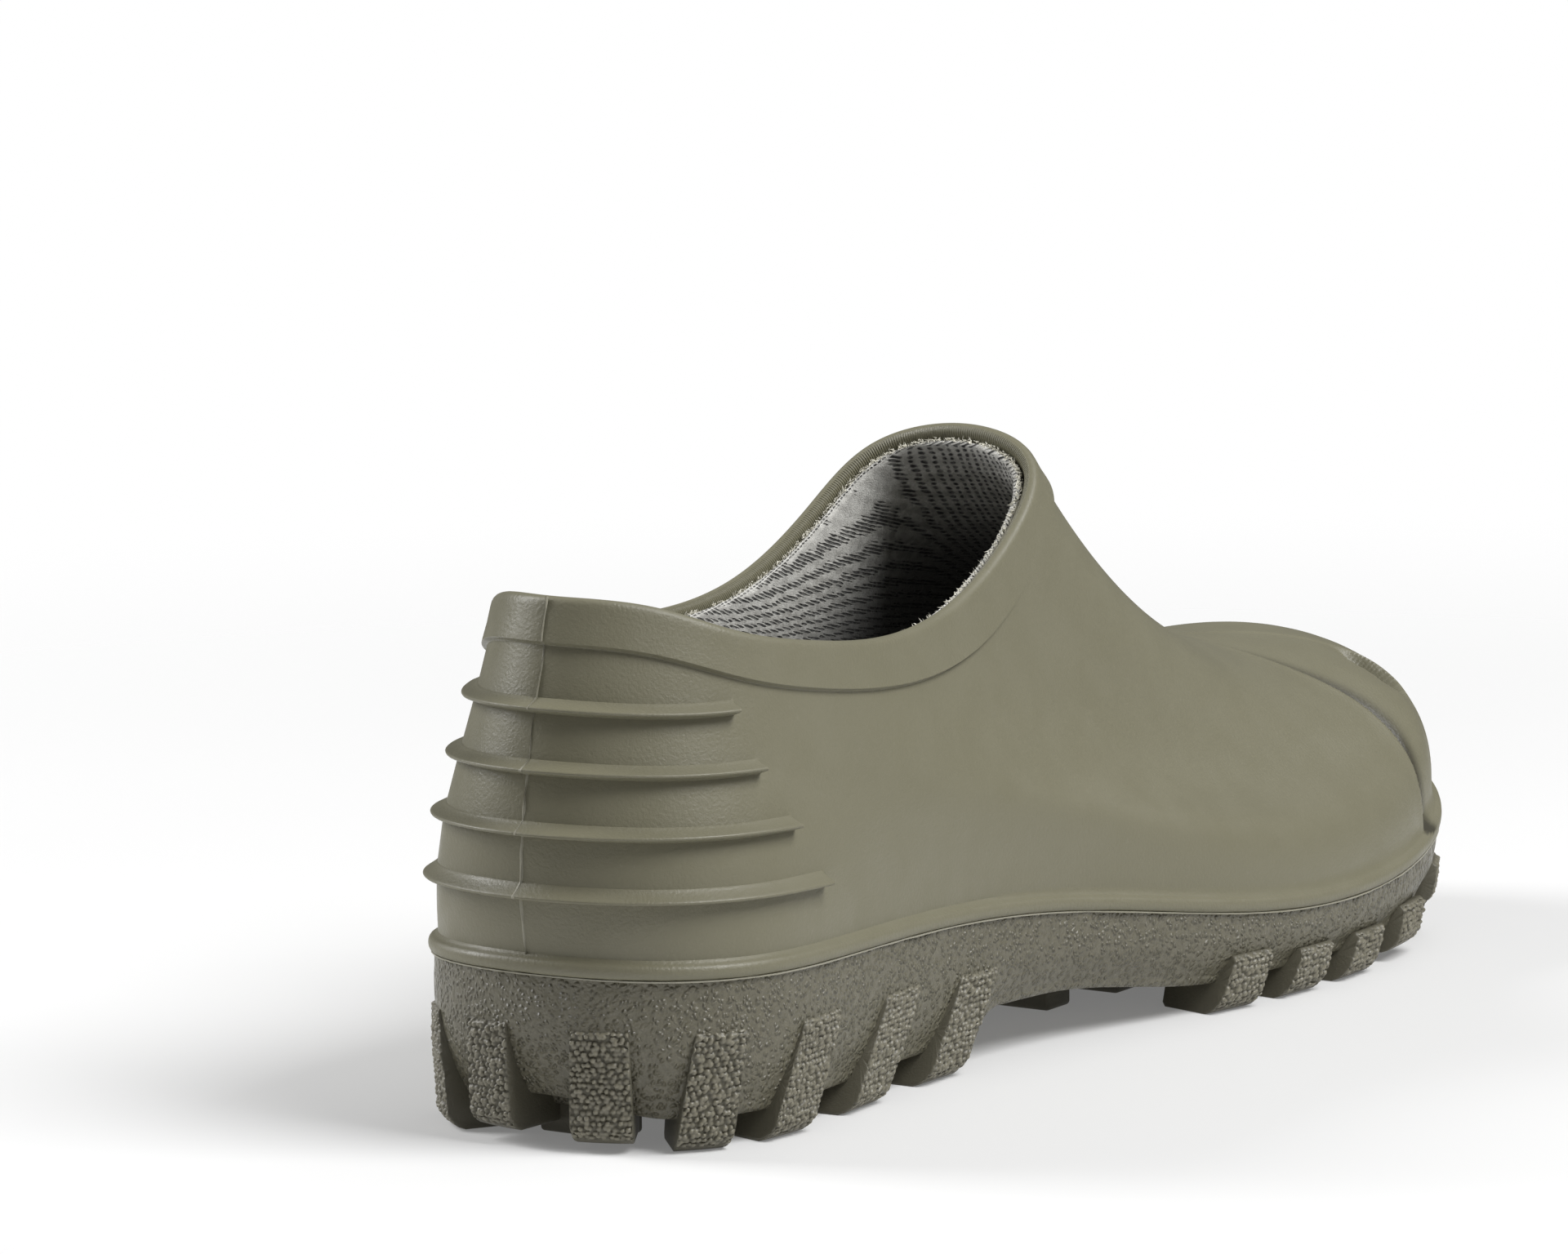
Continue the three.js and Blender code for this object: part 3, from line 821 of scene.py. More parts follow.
@dataclass(frozen=True)
class GrainedPlastic:
    """Matt moulded plastic of the sole, with a leathery grain."""

    name: str = "sole_plastic"
    color: tuple = (0.120, 0.112, 0.079, 1.0)
    light: tuple = (0.146, 0.136, 0.097, 1.0)
    pitch: float = 1.1
    depth: float = 0.62
    roughness: float = 0.34

    def build(self) -> bpy.types.Material:
        """Builds the material."""
        g = Graph(self.name)
        plump = g.cells(self.pitch).between(0.05, 0.62, 1.0, 0.0)
        fine = g.noise(0.5, 3.0, 0.6)
        wrinkle = g.noise(1.6, 3.0, 0.55)
        height = plump * 0.7 + wrinkle * 0.7 + fine * 0.15
        shade = g.mix(wrinkle.between(0.3, 0.7), self.color, self.light)
        color = g.mix(g.noise(30.0, 3.0).between(0.4, 0.7, 0.0, 0.25), shade, self.color)
        rough = fine.between(0.3, 0.7, self.roughness - 0.06, self.roughness + 0.08)
        g.dress(color, rough, g.bump(height, self.depth, 1.0), Specular_IOR_Level=0.5, IOR=1.48)
        return g.material


@dataclass(frozen=True)
class PebbledPlastic:
    """The same plastic on the coarse lugs: shinier on its pebbles' crowns, painted highlight there, painted
    shade between.
    """

    name: str = "lug_plastic"
    # Colours between and on the pebbles: darker between as painted shade, lighter on the crowns as painted
    # highlight.
    color: tuple = (0.102, 0.095, 0.068, 1.0)
    light: tuple = (0.205, 0.191, 0.142, 1.0)

    def build(self) -> bpy.types.Material:
        """Builds the material."""
        g = Graph(self.name)
        crust = g.map()[1]
        fine = g.noise(0.45, 3.0, 0.6)
        # Painted highlight and shade: lighter on the pebble crowns, darker between them.
        color = g.mix(crust.between(0.1, 0.85), self.color, self.light)
        normal = g.bump(g.noise(0.5, 3.0, 0.6), 0.09, 0.8, g.bump(fine, 0.05, 0.6))
        rough = crust.between(0.0, 1.0, 0.5, 0.28)
        g.dress(color, rough, normal, Specular_IOR_Level=0.5, IOR=1.48)
        return g.material


@dataclass(frozen=True)
class KnitCloth:
    """Open grey knit: rows of slanted loops with a dark gap between neighbours."""

    name: str = "lining_knit"
    yarn: tuple = (0.42, 0.41, 0.375, 1.0)
    pale: tuple = (0.76, 0.75, 0.70, 1.0)
    # Near-black of the knit's holes: painted shade seen through them.
    gap: tuple = (0.012, 0.012, 0.011, 1.0)
    # Colour of the painted shade deep down the sock.
    shade: tuple = (0.04, 0.04, 0.037, 1.0)
    fuzz: tuple = (0.2, 0.195, 0.175, 1.0)
    # Near-white of the painted light on the knit near its cut edge.
    edge: tuple = (0.95, 0.94, 0.9, 1.0)
    wale: float = 1.9
    course: float = 1.27
    slit: float = 1.5
    lean: float = 30.0
    slit_width: float = 0.23

    def build(self) -> bpy.types.Material:
        """Builds the material."""
        g = Graph(self.name)
        u, v = g.map()
        level = v / self.course + (g.noise(3.0, 2.0) - 0.5) * 0.7
        along = (u / self.wale + level.floor() * 0.5 + g.noise(2.4, 2.0) * 0.75).fract() - 0.5
        x, y = along * self.wale, (level.fract() - 0.5) * self.course
        lean = math.radians(self.lean)
        ahead = (x * math.cos(lean) + y * math.sin(lean)) / (self.slit * 0.5)
        beside = (y * math.cos(lean) - x * math.sin(lean)) / (self.slit * self.slit_width)
        hole = (ahead * ahead + beside * beside).root().between(0.55, 1.2, 1.0, 0.0)
        loose = g.noise(1.4, 2.0).between(0.36, 0.60)
        hole = hole * (loose * 0.34 + 0.61)
        fibre = g.noise(0.35, 3.0, 0.7)
        band = (v * (2 * math.pi / (self.course * 4))).sine() * 0.08 + g.noise(1.6, 3.0, 0.6)
        yarn = g.mix(band.between(0.3, 0.7), self.yarn, self.pale)
        yarn = g.mix(fibre.between(0.3, 0.75, 0.35, 0.0), yarn, self.fuzz)
        deep = g.map("Depth")[0]
        # Painted light: the yarn is mixed towards near-white within 12 mm of the cut edge.
        yarn = g.mix(deep.between(0.0, 12.0, 0.28, 0.0), yarn, self.edge)
        # Painted shade: the yarn darkens towards near-black from 5 to 36 mm below the edge.
        yarn = g.mix(deep.between(5.0, 36.0, 0.0, 0.94), yarn, self.shade)
        # The holes are the knit's own open pattern; their near-black colour is painted shade.
        color = g.mix(hole, yarn, self.gap)
        height = (1.0 - hole) * 0.8 + fibre * 0.35
        g.dress(color, 0.92, g.bump(height, 0.7, 1.0), Specular_IOR_Level=0.2,
                Sheen_Weight=0.2, Sheen_Roughness=0.5)
        return g.material


@dataclass(frozen=True)
class Fibre:
    """Loose fibrous stuff: yarn ends, felt and cloth."""

    name: str
    color: tuple
    light: tuple
    pitch: float = 0.5
    sheen: float = 0.4

    def build(self) -> bpy.types.Material:
        """Builds the material."""
        g = Graph(self.name)
        fine = g.noise(self.pitch, 4.0, 0.7)
        patch = g.noise(self.pitch * 14, 2.0)
        color = g.mix(fine.between(0.3, 0.7), self.color, self.light)
        color = g.mix(patch.between(0.4, 0.7, 0.0, 0.3), color, self.color)
        g.dress(color, 0.95, g.bump(fine, 0.2, 0.8), Specular_IOR_Level=0.15, Sheen_Weight=self.sheen,
                Sheen_Roughness=0.5)
        return g.material


@dataclass(frozen=True)
class WovenCloth:
    """Plain woven cloth on the insole."""

    name: str = "insole_cloth"
    color: tuple = (0.22, 0.218, 0.2, 1.0)
    light: tuple = (0.46, 0.45, 0.42, 1.0)
    thread: float = 0.8

    def build(self) -> bpy.types.Material:
        """Builds the material."""
        g = Graph(self.name)
        u, v = g.map()
        warp = (u * (2 * math.pi / self.thread)).sine()
        weft = (v * (2 * math.pi / self.thread)).sine()
        weave = warp * weft * 0.5 + 0.5
        fine = g.noise(0.3, 3.0, 0.7)
        color = g.mix((weave * 0.7 + fine * 0.5).between(0.3, 0.9), self.color, self.light)
        g.dress(color, 0.9, g.bump(weave + fine * 0.4, 0.18, 1.0), Specular_IOR_Level=0.2, Sheen_Weight=0.3,
                Sheen_Roughness=0.5)
        return g.material


@dataclass(frozen=True)
class CellFoam:
    """Closed-cell foam with fine pores."""

    name: str = "cell_foam"
    color: tuple = (0.07, 0.072, 0.06, 1.0)
    light: tuple = (0.12, 0.122, 0.105, 1.0)

    def build(self) -> bpy.types.Material:
        """Builds the material."""
        g = Graph(self.name)
        pores = g.cells(0.5).between(0.1, 0.6)
        color = g.mix(pores, self.color, self.light)
        g.dress(color, 0.85, g.bump(pores, 0.12, 0.8), Specular_IOR_Level=0.3)
        return g.material


def dress(piece: bpy.types.Object, finish: bpy.types.Material) -> bpy.types.Object:
    """Gives a piece its finish and ties it to the frame.

    Args:
        piece: The piece.
        finish: Its material.

    Returns:
        The same piece.
    """
    piece.data.materials.clear()
    piece.data.materials.append(finish)
    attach(piece, "root")
    return piece


def midline(points: Array, mirrored: Array, share: Array) -> Array:
    """Points drawn in towards the line half way to their opposite on the other side."""
    return points + (0.5 * (points + mirrored) - points) * share[:, None]


class Kind(Enum):
    """Kinds of row in the upper's skin."""

    FLOOR = "floor"
    RAND = "rand"
    FACE = "face"
    BAND = "band"
    TOP = "top"
    INSIDE = "inside"


@dataclass(frozen=True)
class Row:
    """One row of the upper's skin.

    The measures are a floor inset and height, a rand offset and height, a share of the face and a
    distance up it, a distance from the band's lower edge, a depth below the top line and an offset
    from the wall, or a share of the inside. A floor row may be drawn in to the middle.
    """

    kind: Kind
    first: float
    second: float = 0.0
    inward: float = 0.0


@dataclass
class Upper:
    """The upper: one moulding with rand bead, heel ribs, collar band, lip and web underfoot."""

    last: Last
    wall: Wall
    ribs: Ribs = field(default_factory=Ribs)
    panel: ToePanel = field(default_factory=ToePanel)
    thickness: float = 3.0
    web: float = 2.0
    web_inset: float = 2.0
    collar: float = 1.15
    rand_height: float = 3.5
    rand_proud: float = 1.95
    base_columns: int = 560
    parting_width: float = 0.42
    parting_proud: float = 0.42
    parting_rows: int = 420
    flash_columns: int = 1200
    bead_angles: tuple = (-80, 72, 9)
    face_marks: tuple = (0.35, 0.7, 1.2, 2.5, 4.5, 6.5, 8.5)
    over_ribs: tuple = (5.2, 6.6)
    band_steps: tuple = (-0.9, -0.45, -0.3, -0.2, -0.1, 0.0, 0.08, 0.16, 0.24, 0.4, 0.9)
    rim: tuple = ((5.2, 1.0), (3.2, 1.0), (2.0, 1.0), (1.3, 0.96), (0.8, 0.82), (0.42, 0.55),
                  (0.18, 0.2), (0.05, -0.15), (0.0, -0.5), (0.04, -0.85), (0.14, -1.2), (0.3, -1.5),
                  (0.5, -1.75), (0.75, -1.95), (1.05, -2.08), (1.4, -2.18), (1.8, -2.25), (5.0, -3.0))
    lip_offsets: tuple = (-2.9, -0.7)
    inside_shares: tuple = (0.8, 0.6, 0.4, 0.22, 0.08)

    def face(self, t: Array, distance: Array, extra: Union[Array, float] = 0.0) -> Array:
        """Points of the finished outer face.

        Args:
            t: Stations.
            distance: Distances up the wall.
            extra: How far beyond the face.

        Returns:
            The points in the form's own frame.
        """
        plain = self.wall.point(t, distance)
        start = self.wall.length(t) - self.last.band_depth(t)
        proud = self.collar * ease(-0.28, 0.24, distance - start) + self.ribs.height(self.last, t, distance)
        proud = proud - self.panel.depth_at(plain) + extra
        return plain + self.wall.normal(t, distance) * proud[:, None]

    def columns(self) -> Array:
        """Stations of the mesh columns, with close pairs at the rib ends."""
        even = np.linspace(0, self.last.round, self.base_columns + 1)
        step = self.ribs.end_width
        ends = np.array([end + side for end in self.ribs.ends for side in (-step, 0.0, step)])
        extra = np.concatenate([ends, self.last.round - ends])
        kept = [t for t in even if np.abs(extra - t).min() > step / 2]
        return np.sort(np.concatenate([kept, extra]))

    def rows(self) -> list[Row]:
        """The rows from the web's middle up the outside and down the inside to the floor."""
        bottom = -self.rand_height
        found = [Row(Kind.FLOOR, -self.web_inset, bottom, drawn) for drawn in (1.0, 0.0)]
        found.append(Row(Kind.RAND, 0.75, bottom))
        for angle in np.linspace(*self.bead_angles):
            a = math.radians(angle)
            out = 0.35 + (self.rand_proud - 0.35) * math.cos(a) ** 0.6
            found.append(Row(Kind.RAND, out, -1.9 + 1.55 * math.sin(a)))
        found += [Row(Kind.RAND, 0.62, -0.22), Row(Kind.RAND, 0.42, 0.0)]
        marks = sorted(list(self.face_marks) + self.ribs.rows())
        marks += [self.ribs.top + step for step in self.over_ribs]
        found += [Row(Kind.FACE, (k + 1) / (len(marks) + 1), mark) for k, mark in enumerate(marks)]
        found += [Row(Kind.BAND, step) for step in self.band_steps]
        found += [Row(Kind.TOP, below, offset) for below, offset in self.rim]
        found += [Row(Kind.INSIDE, share) for share in self.inside_shares]
        floor = self.web - self.rand_height
        return found + [Row(Kind.FLOOR, -self.thickness, floor, drawn) for drawn in (0.0, 1.0)]

    def row_points(self, row: Row, t: Array) -> Array:
        """Points of one row.

        Args:
            row: The row.
            t: Stations.

        Returns:
            The points in the form's own frame.
        """
        length = self.wall.length(t)
        band = length - self.last.band_depth(t)
        if row.kind is Kind.FLOOR:
            ends = [self.floor_point(s, row.first, row.second) for s in (t, self.last.round - t)]
            return midline(ends[0], ends[1], np.full(len(t), row.inward))
        if row.kind is Kind.RAND:
            found = self.last.feather(t) + self.last.plan_normal(self.last.feather, t) * row.first
            found[:, 2] += row.second
            return found
        if row.kind is Kind.FACE:
            free = band - 1.3
            top = self.ribs.top + 7.0
            kept = self.ribs.kept_up_to(self.last, t)
            squeezed = kept + (row.second - kept) * np.minimum(1, (free - kept) / (top - kept))
            near = np.where(row.second < kept, row.second, squeezed)
            blend = ease(2.6, 4.4, self.last.from_heel(t))
            return self.face(t, near * (1 - blend) + row.first * free * blend)
        if row.kind is Kind.BAND:
            return self.face(t, band + row.first)
        if row.kind is Kind.TOP:
            distance = length - row.first
            return self.wall.point(t, distance) + self.wall.normal(t, distance) * row.second
        distance = row.first * (length - 5.0)
        return self.wall.point(t, distance) - self.wall.normal(t, distance) * self.thickness

    def between(self, low: Row, high: Row, share: float, t: Array) -> Array:
        """Points part of the way from one row to the next; on the face they stay on the face.

        Args:
            low: The first row.
            high: The next row.
            share: How far along the points lie, from 0 to 1.
            t: Stations.

        Returns:
            The points in the form's own frame.
        """
        if low.kind is high.kind is Kind.FACE:
            first = low.first + (high.first - low.first) * share
            second = low.second + (high.second - low.second) * share
            return self.row_points(Row(Kind.FACE, first, second), t)
        return self.row_points(low, t) * (1 - share) + self.row_points(high, t) * share

    def floor_point(self, t: Array, offset: float, height: float) -> Array:
        """Points beside the feather line at a height from the curved floor."""
        found = self.last.feather(t) + self.last.plan_normal(self.last.feather, t) * offset
        found[:, 2] = self.last.base(found[:, 1]) + height
        return found

    def shell(self) -> bpy.types.Object:
        """The closed skin of the upper."""
        stations, rows = self.columns(), self.rows()
        grid = np.stack([self.row_points(row, stations) for row in rows])
        rim = self.wall.point(stations, self.wall.length(stations))
        girth = np.concatenate([[0], np.cumsum(np.linalg.norm(np.diff(rim, axis=0), axis=1))])
        deep, shallow = self.lip_offsets
        on_lip = [row.kind is Kind.TOP and deep < row.second < shallow for row in rows]
        lipped = np.array(on_lip, float)
        facing = np.array([row.kind is Kind.FACE for row in rows])

        def place(c: Array, r: Array) -> Array:
            """Grid numbers to points, worked out afresh between rows."""
            t = np.interp(c, np.arange(len(stations)), stations)
            low = np.floor(r + 1e-4).astype(int)
            share = np.where(r - low > 1e-3, np.round(r - low, 3), 0.0)
            found = np.empty((len(c), 3))
            for k, part in np.unique(np.stack([low, share], 1), axis=0):
                some = (low == k) & (share == part)
                row = rows[int(k)]
                if part == 0.0:
                    found[some] = self.row_points(row, t[some])
                else:
                    found[some] = self.between(row, rows[int(k) + 1], part, t[some])
            return self.last.placed(found)

        def near_crest(c: Array, r: Array) -> Array:
            """Whether a vertex lies close to the toe panel's crests."""
            low = np.clip(np.round(r).astype(int), 0, len(rows) - 1)
            at = np.clip(np.round(c).astype(int), 0, len(stations) - 1)
            points = grid[low, at]
            crests = (self.panel.outer, self.panel.inner)
            gaps = [np.abs(self.panel.side(crest, points[:, :2])) for crest in crests]
            close = np.minimum(gaps[0], gaps[1]) < self.panel.reach
            return close & facing[low] & self.panel.covers(points)

        def lip_map(c: Array, r: Array) -> Array:
            """Length round the rim, 1 on the lip, and the shade in the toe panel's grooves."""
            points = place(c, r) - self.last.placed(np.zeros((1, 3)))
            shade = np.zeros(len(c))
            front = self.panel.covers(points)
            shade[front] = self.panel.shade_at(points[front])
            along = np.interp(c, np.arange(len(girth)), girth)
            lip = np.interp(r, np.arange(len(rows)), lipped)
            return np.stack([along, lip, shade], 1)

        columns = len(stations) - 1
        made = Shape.grid("upper_shell", columns, len(rows) - 1, place, near_crest, lip_map)
        Shape.smooth(made, 38)
        log.info("upper rows %d, columns %d", len(rows), len(stations))
        return made

    def parting_line(self) -> bpy.types.Object:
        """The thin raised line where the mould's halves met, down the middle of the heel."""
        length = float(self.wall.length(np.array([0.0]))[0])
        sides = np.array([-1.0, -0.35, 0.0, 0.35, 1.0])
        heights = np.array([-0.25, 0.7, 1.0, 0.7, -0.25])

        def place(c: Array, r: Array) -> Array:
            """Grid numbers to a low uneven ridge."""
            up = r / self.parting_rows
            distance = up * (length - 0.3)
            key = np.stack([distance, np.zeros_like(up), np.zeros_like(up)], 1)
            wander = soft_noise(key, 9.0, 3) * 0.22 + soft_noise(key, 2.2, 4) * 0.08
            width = self.parting_width * (0.75 + 0.45 * soft_noise(key, 3.1, 5))
            proud = self.parting_proud * (0.7 + 0.5 * soft_noise(key, 2.6, 6))
            at = np.round(c).astype(int)
            t = np.mod(0.012 + (wander + sides[at] * width) / 27.0, self.last.round)
            return self.last.placed(self.face(t, distance, proud * heights[at]))

        made = Shape.grid("heel_parting_line", 4, self.parting_rows, place)
        Shape.smooth(made, 60)
        return made

    def rand_flash(self) -> bpy.types.Object:
        """The thin uneven fin squeezed out along the bottom of the rand bead."""
        corners = np.array([[0.2, 0.0, -0.22], [0.95, 1.0, -0.14], [0.95, 1.0, 0.14], [0.2, 0.0, 0.22]])

        def place(c: Array, r: Array) -> Array:
            """Grid numbers to a thin fin."""
            t = np.mod(c / self.flash_columns, 1.0) * self.last.round
            foot = self.last.feather(t)
            reach = 0.55 + 0.22 * soft_noise(foot, 6.0, 11) + 0.12 * soft_noise(foot, 1.5, 12)
            start, grown, level = corners[np.round(r).astype(int) % len(corners)].T
            offset = start + grown * reach
            found = foot + self.last.plan_normal(self.last.feather, t) * offset[:, None]
            found[:, 2] += level - self.rand_height - 0.05
            return self.last.placed(found)

        made = Shape.grid("rand_flash", self.flash_columns, len(corners), place)
        Shape.smooth(made, 50)
        return made

    def build(self, finish: bpy.types.Material, flash: bpy.types.Material) -> list:
        """Builds and dresses the upper's pieces.

        Args:
            finish: The upper's plastic.
            flash: The same plastic where it is thin.

        Returns:
            The pieces.
        """
        pieces = [dress(self.shell(), finish)]
        pieces += [dress(part, flash) for part in (self.parting_line(), self.rand_flash())]
        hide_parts("upper")
        return pieces


@dataclass
class Outsole:
    """The outsole: side wall, edge lugs and tread bars of the second moulding."""

    last: Last
    upper: Upper
    gap: float = 0.3
    flare: float = 0.9
    tuck: float = 3.5
    hollow: float = 1.6
    corner: float = 2.6
    side_fill: float = 0.5
    tread: float = 6.0
    waist: float = 5.0
    spring: float = 0.0028
    spring_start: float = 72.0
    bevel: float = 0.04
    bevel_start: float = -138.0
    lug_proud: float = 1.3
    lug_reach: float = 15.0
    heel_drop: float = 13.2
    fore_drop: float = 11.6
    outer_lugs: tuple = ((0.6, 0.22, 0), (1.5, 0.2, 0.14), (2.34, 0.17, 0.28), (3.03, 0.13, 0.28),
                         (3.54, 0.11, 0.22), (4.94, 0.1, 0.08), (5.31, 0.1, 0.08), (5.7, 0.11, 0.08),
                         (6.13, 0.13, 0.06), (6.68, 0.15, 0.04), (7.35, 0.2, 0))
    inner_lugs: tuple = ((0.34, 0.2, 0), (1.2, 0.2, 0.1), (2.05, 0.18, 0.24), (2.8, 0.14, 0.28),
                         (3.38, 0.12, 0.22), (4.85, 0.11, 0.08), (5.25, 0.11, 0.08), (5.65, 0.12, 0.08),
                         (6.1, 0.13, 0.06), (6.65, 0.16, 0.04), (7.3, 0.2, 0))
    bars: tuple = ((-128, 9), (-104, 12), (-80, 11), (-56, 9), (16, 17), (38, 20), (60, 22), (82, 22),
                   (103, 17))
    bar_width: float = 9.0
    pebble_pitch: float = 1.18
    pebble_height: float = 0.75
    fine: float = 0.24
    columns: int = 760
    lean_spread: float = 0.10

    def ground(self, y: Array) -> Array:
        """Height of the lug bottoms over a place along the shoe."""
        toe = self.spring * np.maximum(0, y - self.spring_start) ** 2
        return toe + self.bevel * np.maximum(0, self.bevel_start - y) ** 2

    def bottom(self, y: Array) -> Array:
        """Height of the plain sole bottom between the lugs."""
        arch = self.waist * ease(-46, -34, y) * (1 - ease(-20, 30, y))
        return self.ground(y) + self.tread + arch

    def edge(self, t: Array, offset: Array, z: Array) -> Array:
        """Points beside the feather line at given heights."""
        found = self.last.feather(t) + self.last.plan_normal(self.last.feather, t) * offset[:, None]
        found[:, 2] = z
        return found

    def body(self) -> bpy.types.Object:
        """The side wall and bottom, without lugs."""
        drop = self.upper.rand_height + self.gap
        under, bend = -self.tuck - self.hollow, self.corner
        profile = [(under - 6.0, 0.0, 0.0, 1.0), (under - 6.0, 0.0, 0.0, 0.0), (under - 3.0, 0.0, 0.0, 0.0)]
        for angle in np.linspace(-90, -15, 9):
            a = math.radians(angle)
            profile.append((under + bend * (math.cos(a) - 0.8), bend + bend * math.sin(a), 0.0, 0.0))
        start = profile[-1][0]
        for share in np.linspace(0.05, 1.0, 24):
            rise = 1.0 - (1.0 - min(1.0, share / 0.75)) ** 2.2
            profile.append((start + (self.flare - start) * rise, bend * 0.75, share, 0.0))
        count = len(profile)

        def place(c: Array, r: Array) -> Array:
            """Grid numbers to the outsole's skin."""
            t = np.mod(c / self.columns, 1.0) * self.last.round
            found = np.empty((len(c), 3))
            row = np.round(r).astype(int)
            for k in range(count + 2):
                pick = row == k
                s = t[pick]
                foot = self.last.feather(s)
                if k >= count:
                    inset = -self.upper.web_inset
                    ends = [self.upper.floor_point(w, inset, -drop) for w in (s, self.last.round - s)]
                    found[pick] = midline(ends[0], ends[1], np.full(len(s), float(k - count)))
                    continue
                offset, lift, share, inward = profile[k]
                low = self.bottom(foot[:, 1])
                top = foot[:, 2] - drop
                z = (low + lift) * (1 - share) + top * share
                kept = 1 - self.side_fill * ease(0.4, 1.5, self.last.from_heel(s))
                beside = np.where(offset < self.flare, self.flare + (offset - self.flare) * kept, offset)
                points = self.edge(s, beside, z)
                opposite = self.edge(self.last.round - s, beside, z)
                found[pick] = midline(points, opposite, np.full(len(s), inward))
                if 0.0 < share < 1.0:
                    swell = 0.12 * soft_noise(points, 4.5, 21) + 0.05 * soft_noise(points, 1.8, 22)
                    found[pick] += self.last.plan_normal(self.last.feather, s) * swell[:, None]
            return self.last.placed(found)

        made = Shape.grid("outsole_body", self.columns, count + 1, place)
        Shape.smooth(made, 45)
        return made

    def section(self, y: float, height: float) -> tuple[Array, Array, Array, Array]:
        """Section of an edge lug, as offsets, heights and how much of the crust shows.

        Args:
            y: Place of the lug along the shoe.
            height: Height of the feather line there.

        Returns:
            Offsets from the feather line, heights, the crust's share and the length so far, at each point.
        """
        ground = float(self.ground(np.array([y]))[0])
        head = height - (self.heel_drop if y < -10 else self.fore_drop)
        proud = self.lug_proud
        corners = [(-3.0, head - 0.6), (proud - 1.0, head), (proud, head - 1.0),
                   (proud - 0.2, head * 0.6 + ground * 0.4), (proud - 0.7, ground + 3.0),
                   (-0.6, ground + 1.3), (-2.2, ground), (-self.lug_reach, ground),
                   (-self.lug_reach - 1.2, ground + self.tread + 1.0), (-5.0, ground + self.tread + 2.5)]
        line = np.array(corners[::-1] + corners[-1:])
        steps = np.linalg.norm(np.diff(line, axis=0), axis=1)
        sums = np.concatenate([[0], np.cumsum(steps)])
        fine = [0.0]
        while fine[-1] < sums[-1] - 1e-6:
            z = np.interp(fine[-1], sums, line[:, 1])
            x = np.interp(fine[-1], sums, line[:, 0])
            fine.append(min(sums[-1], fine[-1] + (self.fine if x > -1.8 and z > ground - 1 else 1.6)))
        places = np.array(fine)
        x, z = np.interp(places, sums, line[:, 0]), np.interp(places, sums, line[:, 1])
        crust = ease(-1.4, -0.5, x) * ease(ground + 0.2, ground + 1.6, z)
        return x, z, crust * ease(head + 0.05, head - 0.55, z), places

    def lug(self, middle: float, half: float, lean: float, outer: bool, number: int) -> bpy.types.Object:
        """One edge lug with a pebbled outer face.

        Args:
            middle: Station of its middle.
            half: Half its width, in stations.
            lean: How far its foot lies behind its head, in stations.
            outer: Whether it is on the outer side of the foot.
            number: Number that picks its crust.

        Returns:
            The lug.
        """
        side = 1.0 if outer else -1.0
        turn = (lambda t: t) if outer else (lambda t: self.last.round - t)
        foot = self.last.feather(np.array([turn(middle)]))[0]
        x, z, crust, places = self.section(foot[1], foot[2])
        head, count = z.max(), len(x)
        start, stop = self.last.feather(np.array([turn(middle - half), turn(middle + half)]))
        wide = float(np.linalg.norm(stop - start)) / 2
        across = max(10, int(2 * wide / self.fine))
        ends, falls = np.array([-1.0, -1.0, -0.985, -0.955]), np.array([1.0, 0.55, 0.18, 0.05])
        shares = np.concatenate([ends, np.linspace(-0.93, 0.93, across - 1), -ends[::-1]])
        shrink = np.concatenate([falls, np.zeros(across - 1), falls[::-1]])
        heart = np.array([x.mean(), z.mean()])

        def spread(pz: Array) -> Array:
            """How much wider the lug is at a height than at its head."""
            return 1.0 + self.lean_spread * np.clip((head - pz) / head, 0, 1)

        def skin(c: Array, r: Array) -> tuple[Array, ...]:
            """Column, section place, height, pebble height and its share for grid numbers."""
            at, k = np.round(c).astype(int), np.round(r).astype(int) % (count - 1)
            inward = np.where((shrink[at] == 1.0), 1.0, shrink[at] * 0.12)
            px = x[k] + (heart[0] - x[k]) * inward
            pz = z[k] + (heart[1] - z[k]) * inward
            shown = crust[k] * (1.0 - np.clip(shrink[at] * 3.0, 0, 1))
            height = pebbles(shares[at] * wide * spread(pz), places[k], self.pebble_pitch, 40 + number)
            return at, px, pz, height, shown

        def place(c: Array, r: Array) -> Array:
            """Grid numbers to the lug's skin."""
            at, px, pz, height, shown = skin(c, r)
            back = lean * np.clip((head - pz) / head, 0, 1)
            t = turn(middle + side * shares[at] * half * spread(pz) - back)
            points = self.edge(t, px, pz)
            out = self.last.plan_normal(self.last.feather, t)
            lumpy = self.pebble_height * (height - 0.4) + 0.3 * soft_noise(points, 5.0, 50 + number)
            return self.last.placed(points + out * (shown * lumpy)[:, None])

        def crust_map(c: Array, r: Array) -> Array:
            """Height of the crust, for the painted highlight and shade in its colour and for its roughness.
            """
            height, shown = skin(c, r)[3:]
            return np.stack([c, height * shown], 1)

        made = Shape.grid("lug", len(shares) - 1, count - 1, place, uv=crust_map)
        bpy.ops.object.mode_set(mode="EDIT")
        bpy.ops.mesh.select_all(action="SELECT")
        bpy.ops.mesh.normals_make_consistent(inside=False)
        bpy.ops.object.mode_set(mode="OBJECT")
        return made

    def lugs(self, outer: bool) -> bpy.types.Object:
        """The edge lugs of one side, joined."""
        group = self.outer_lugs if outer else self.inner_lugs
        parts = [self.lug(*sizes, outer, k + 20 * outer) for k, sizes in enumerate(group)]
        made = Shape.join(parts, "outer_lugs" if outer else "inner_lugs")
        Shape.smooth(made, 60)
        return made

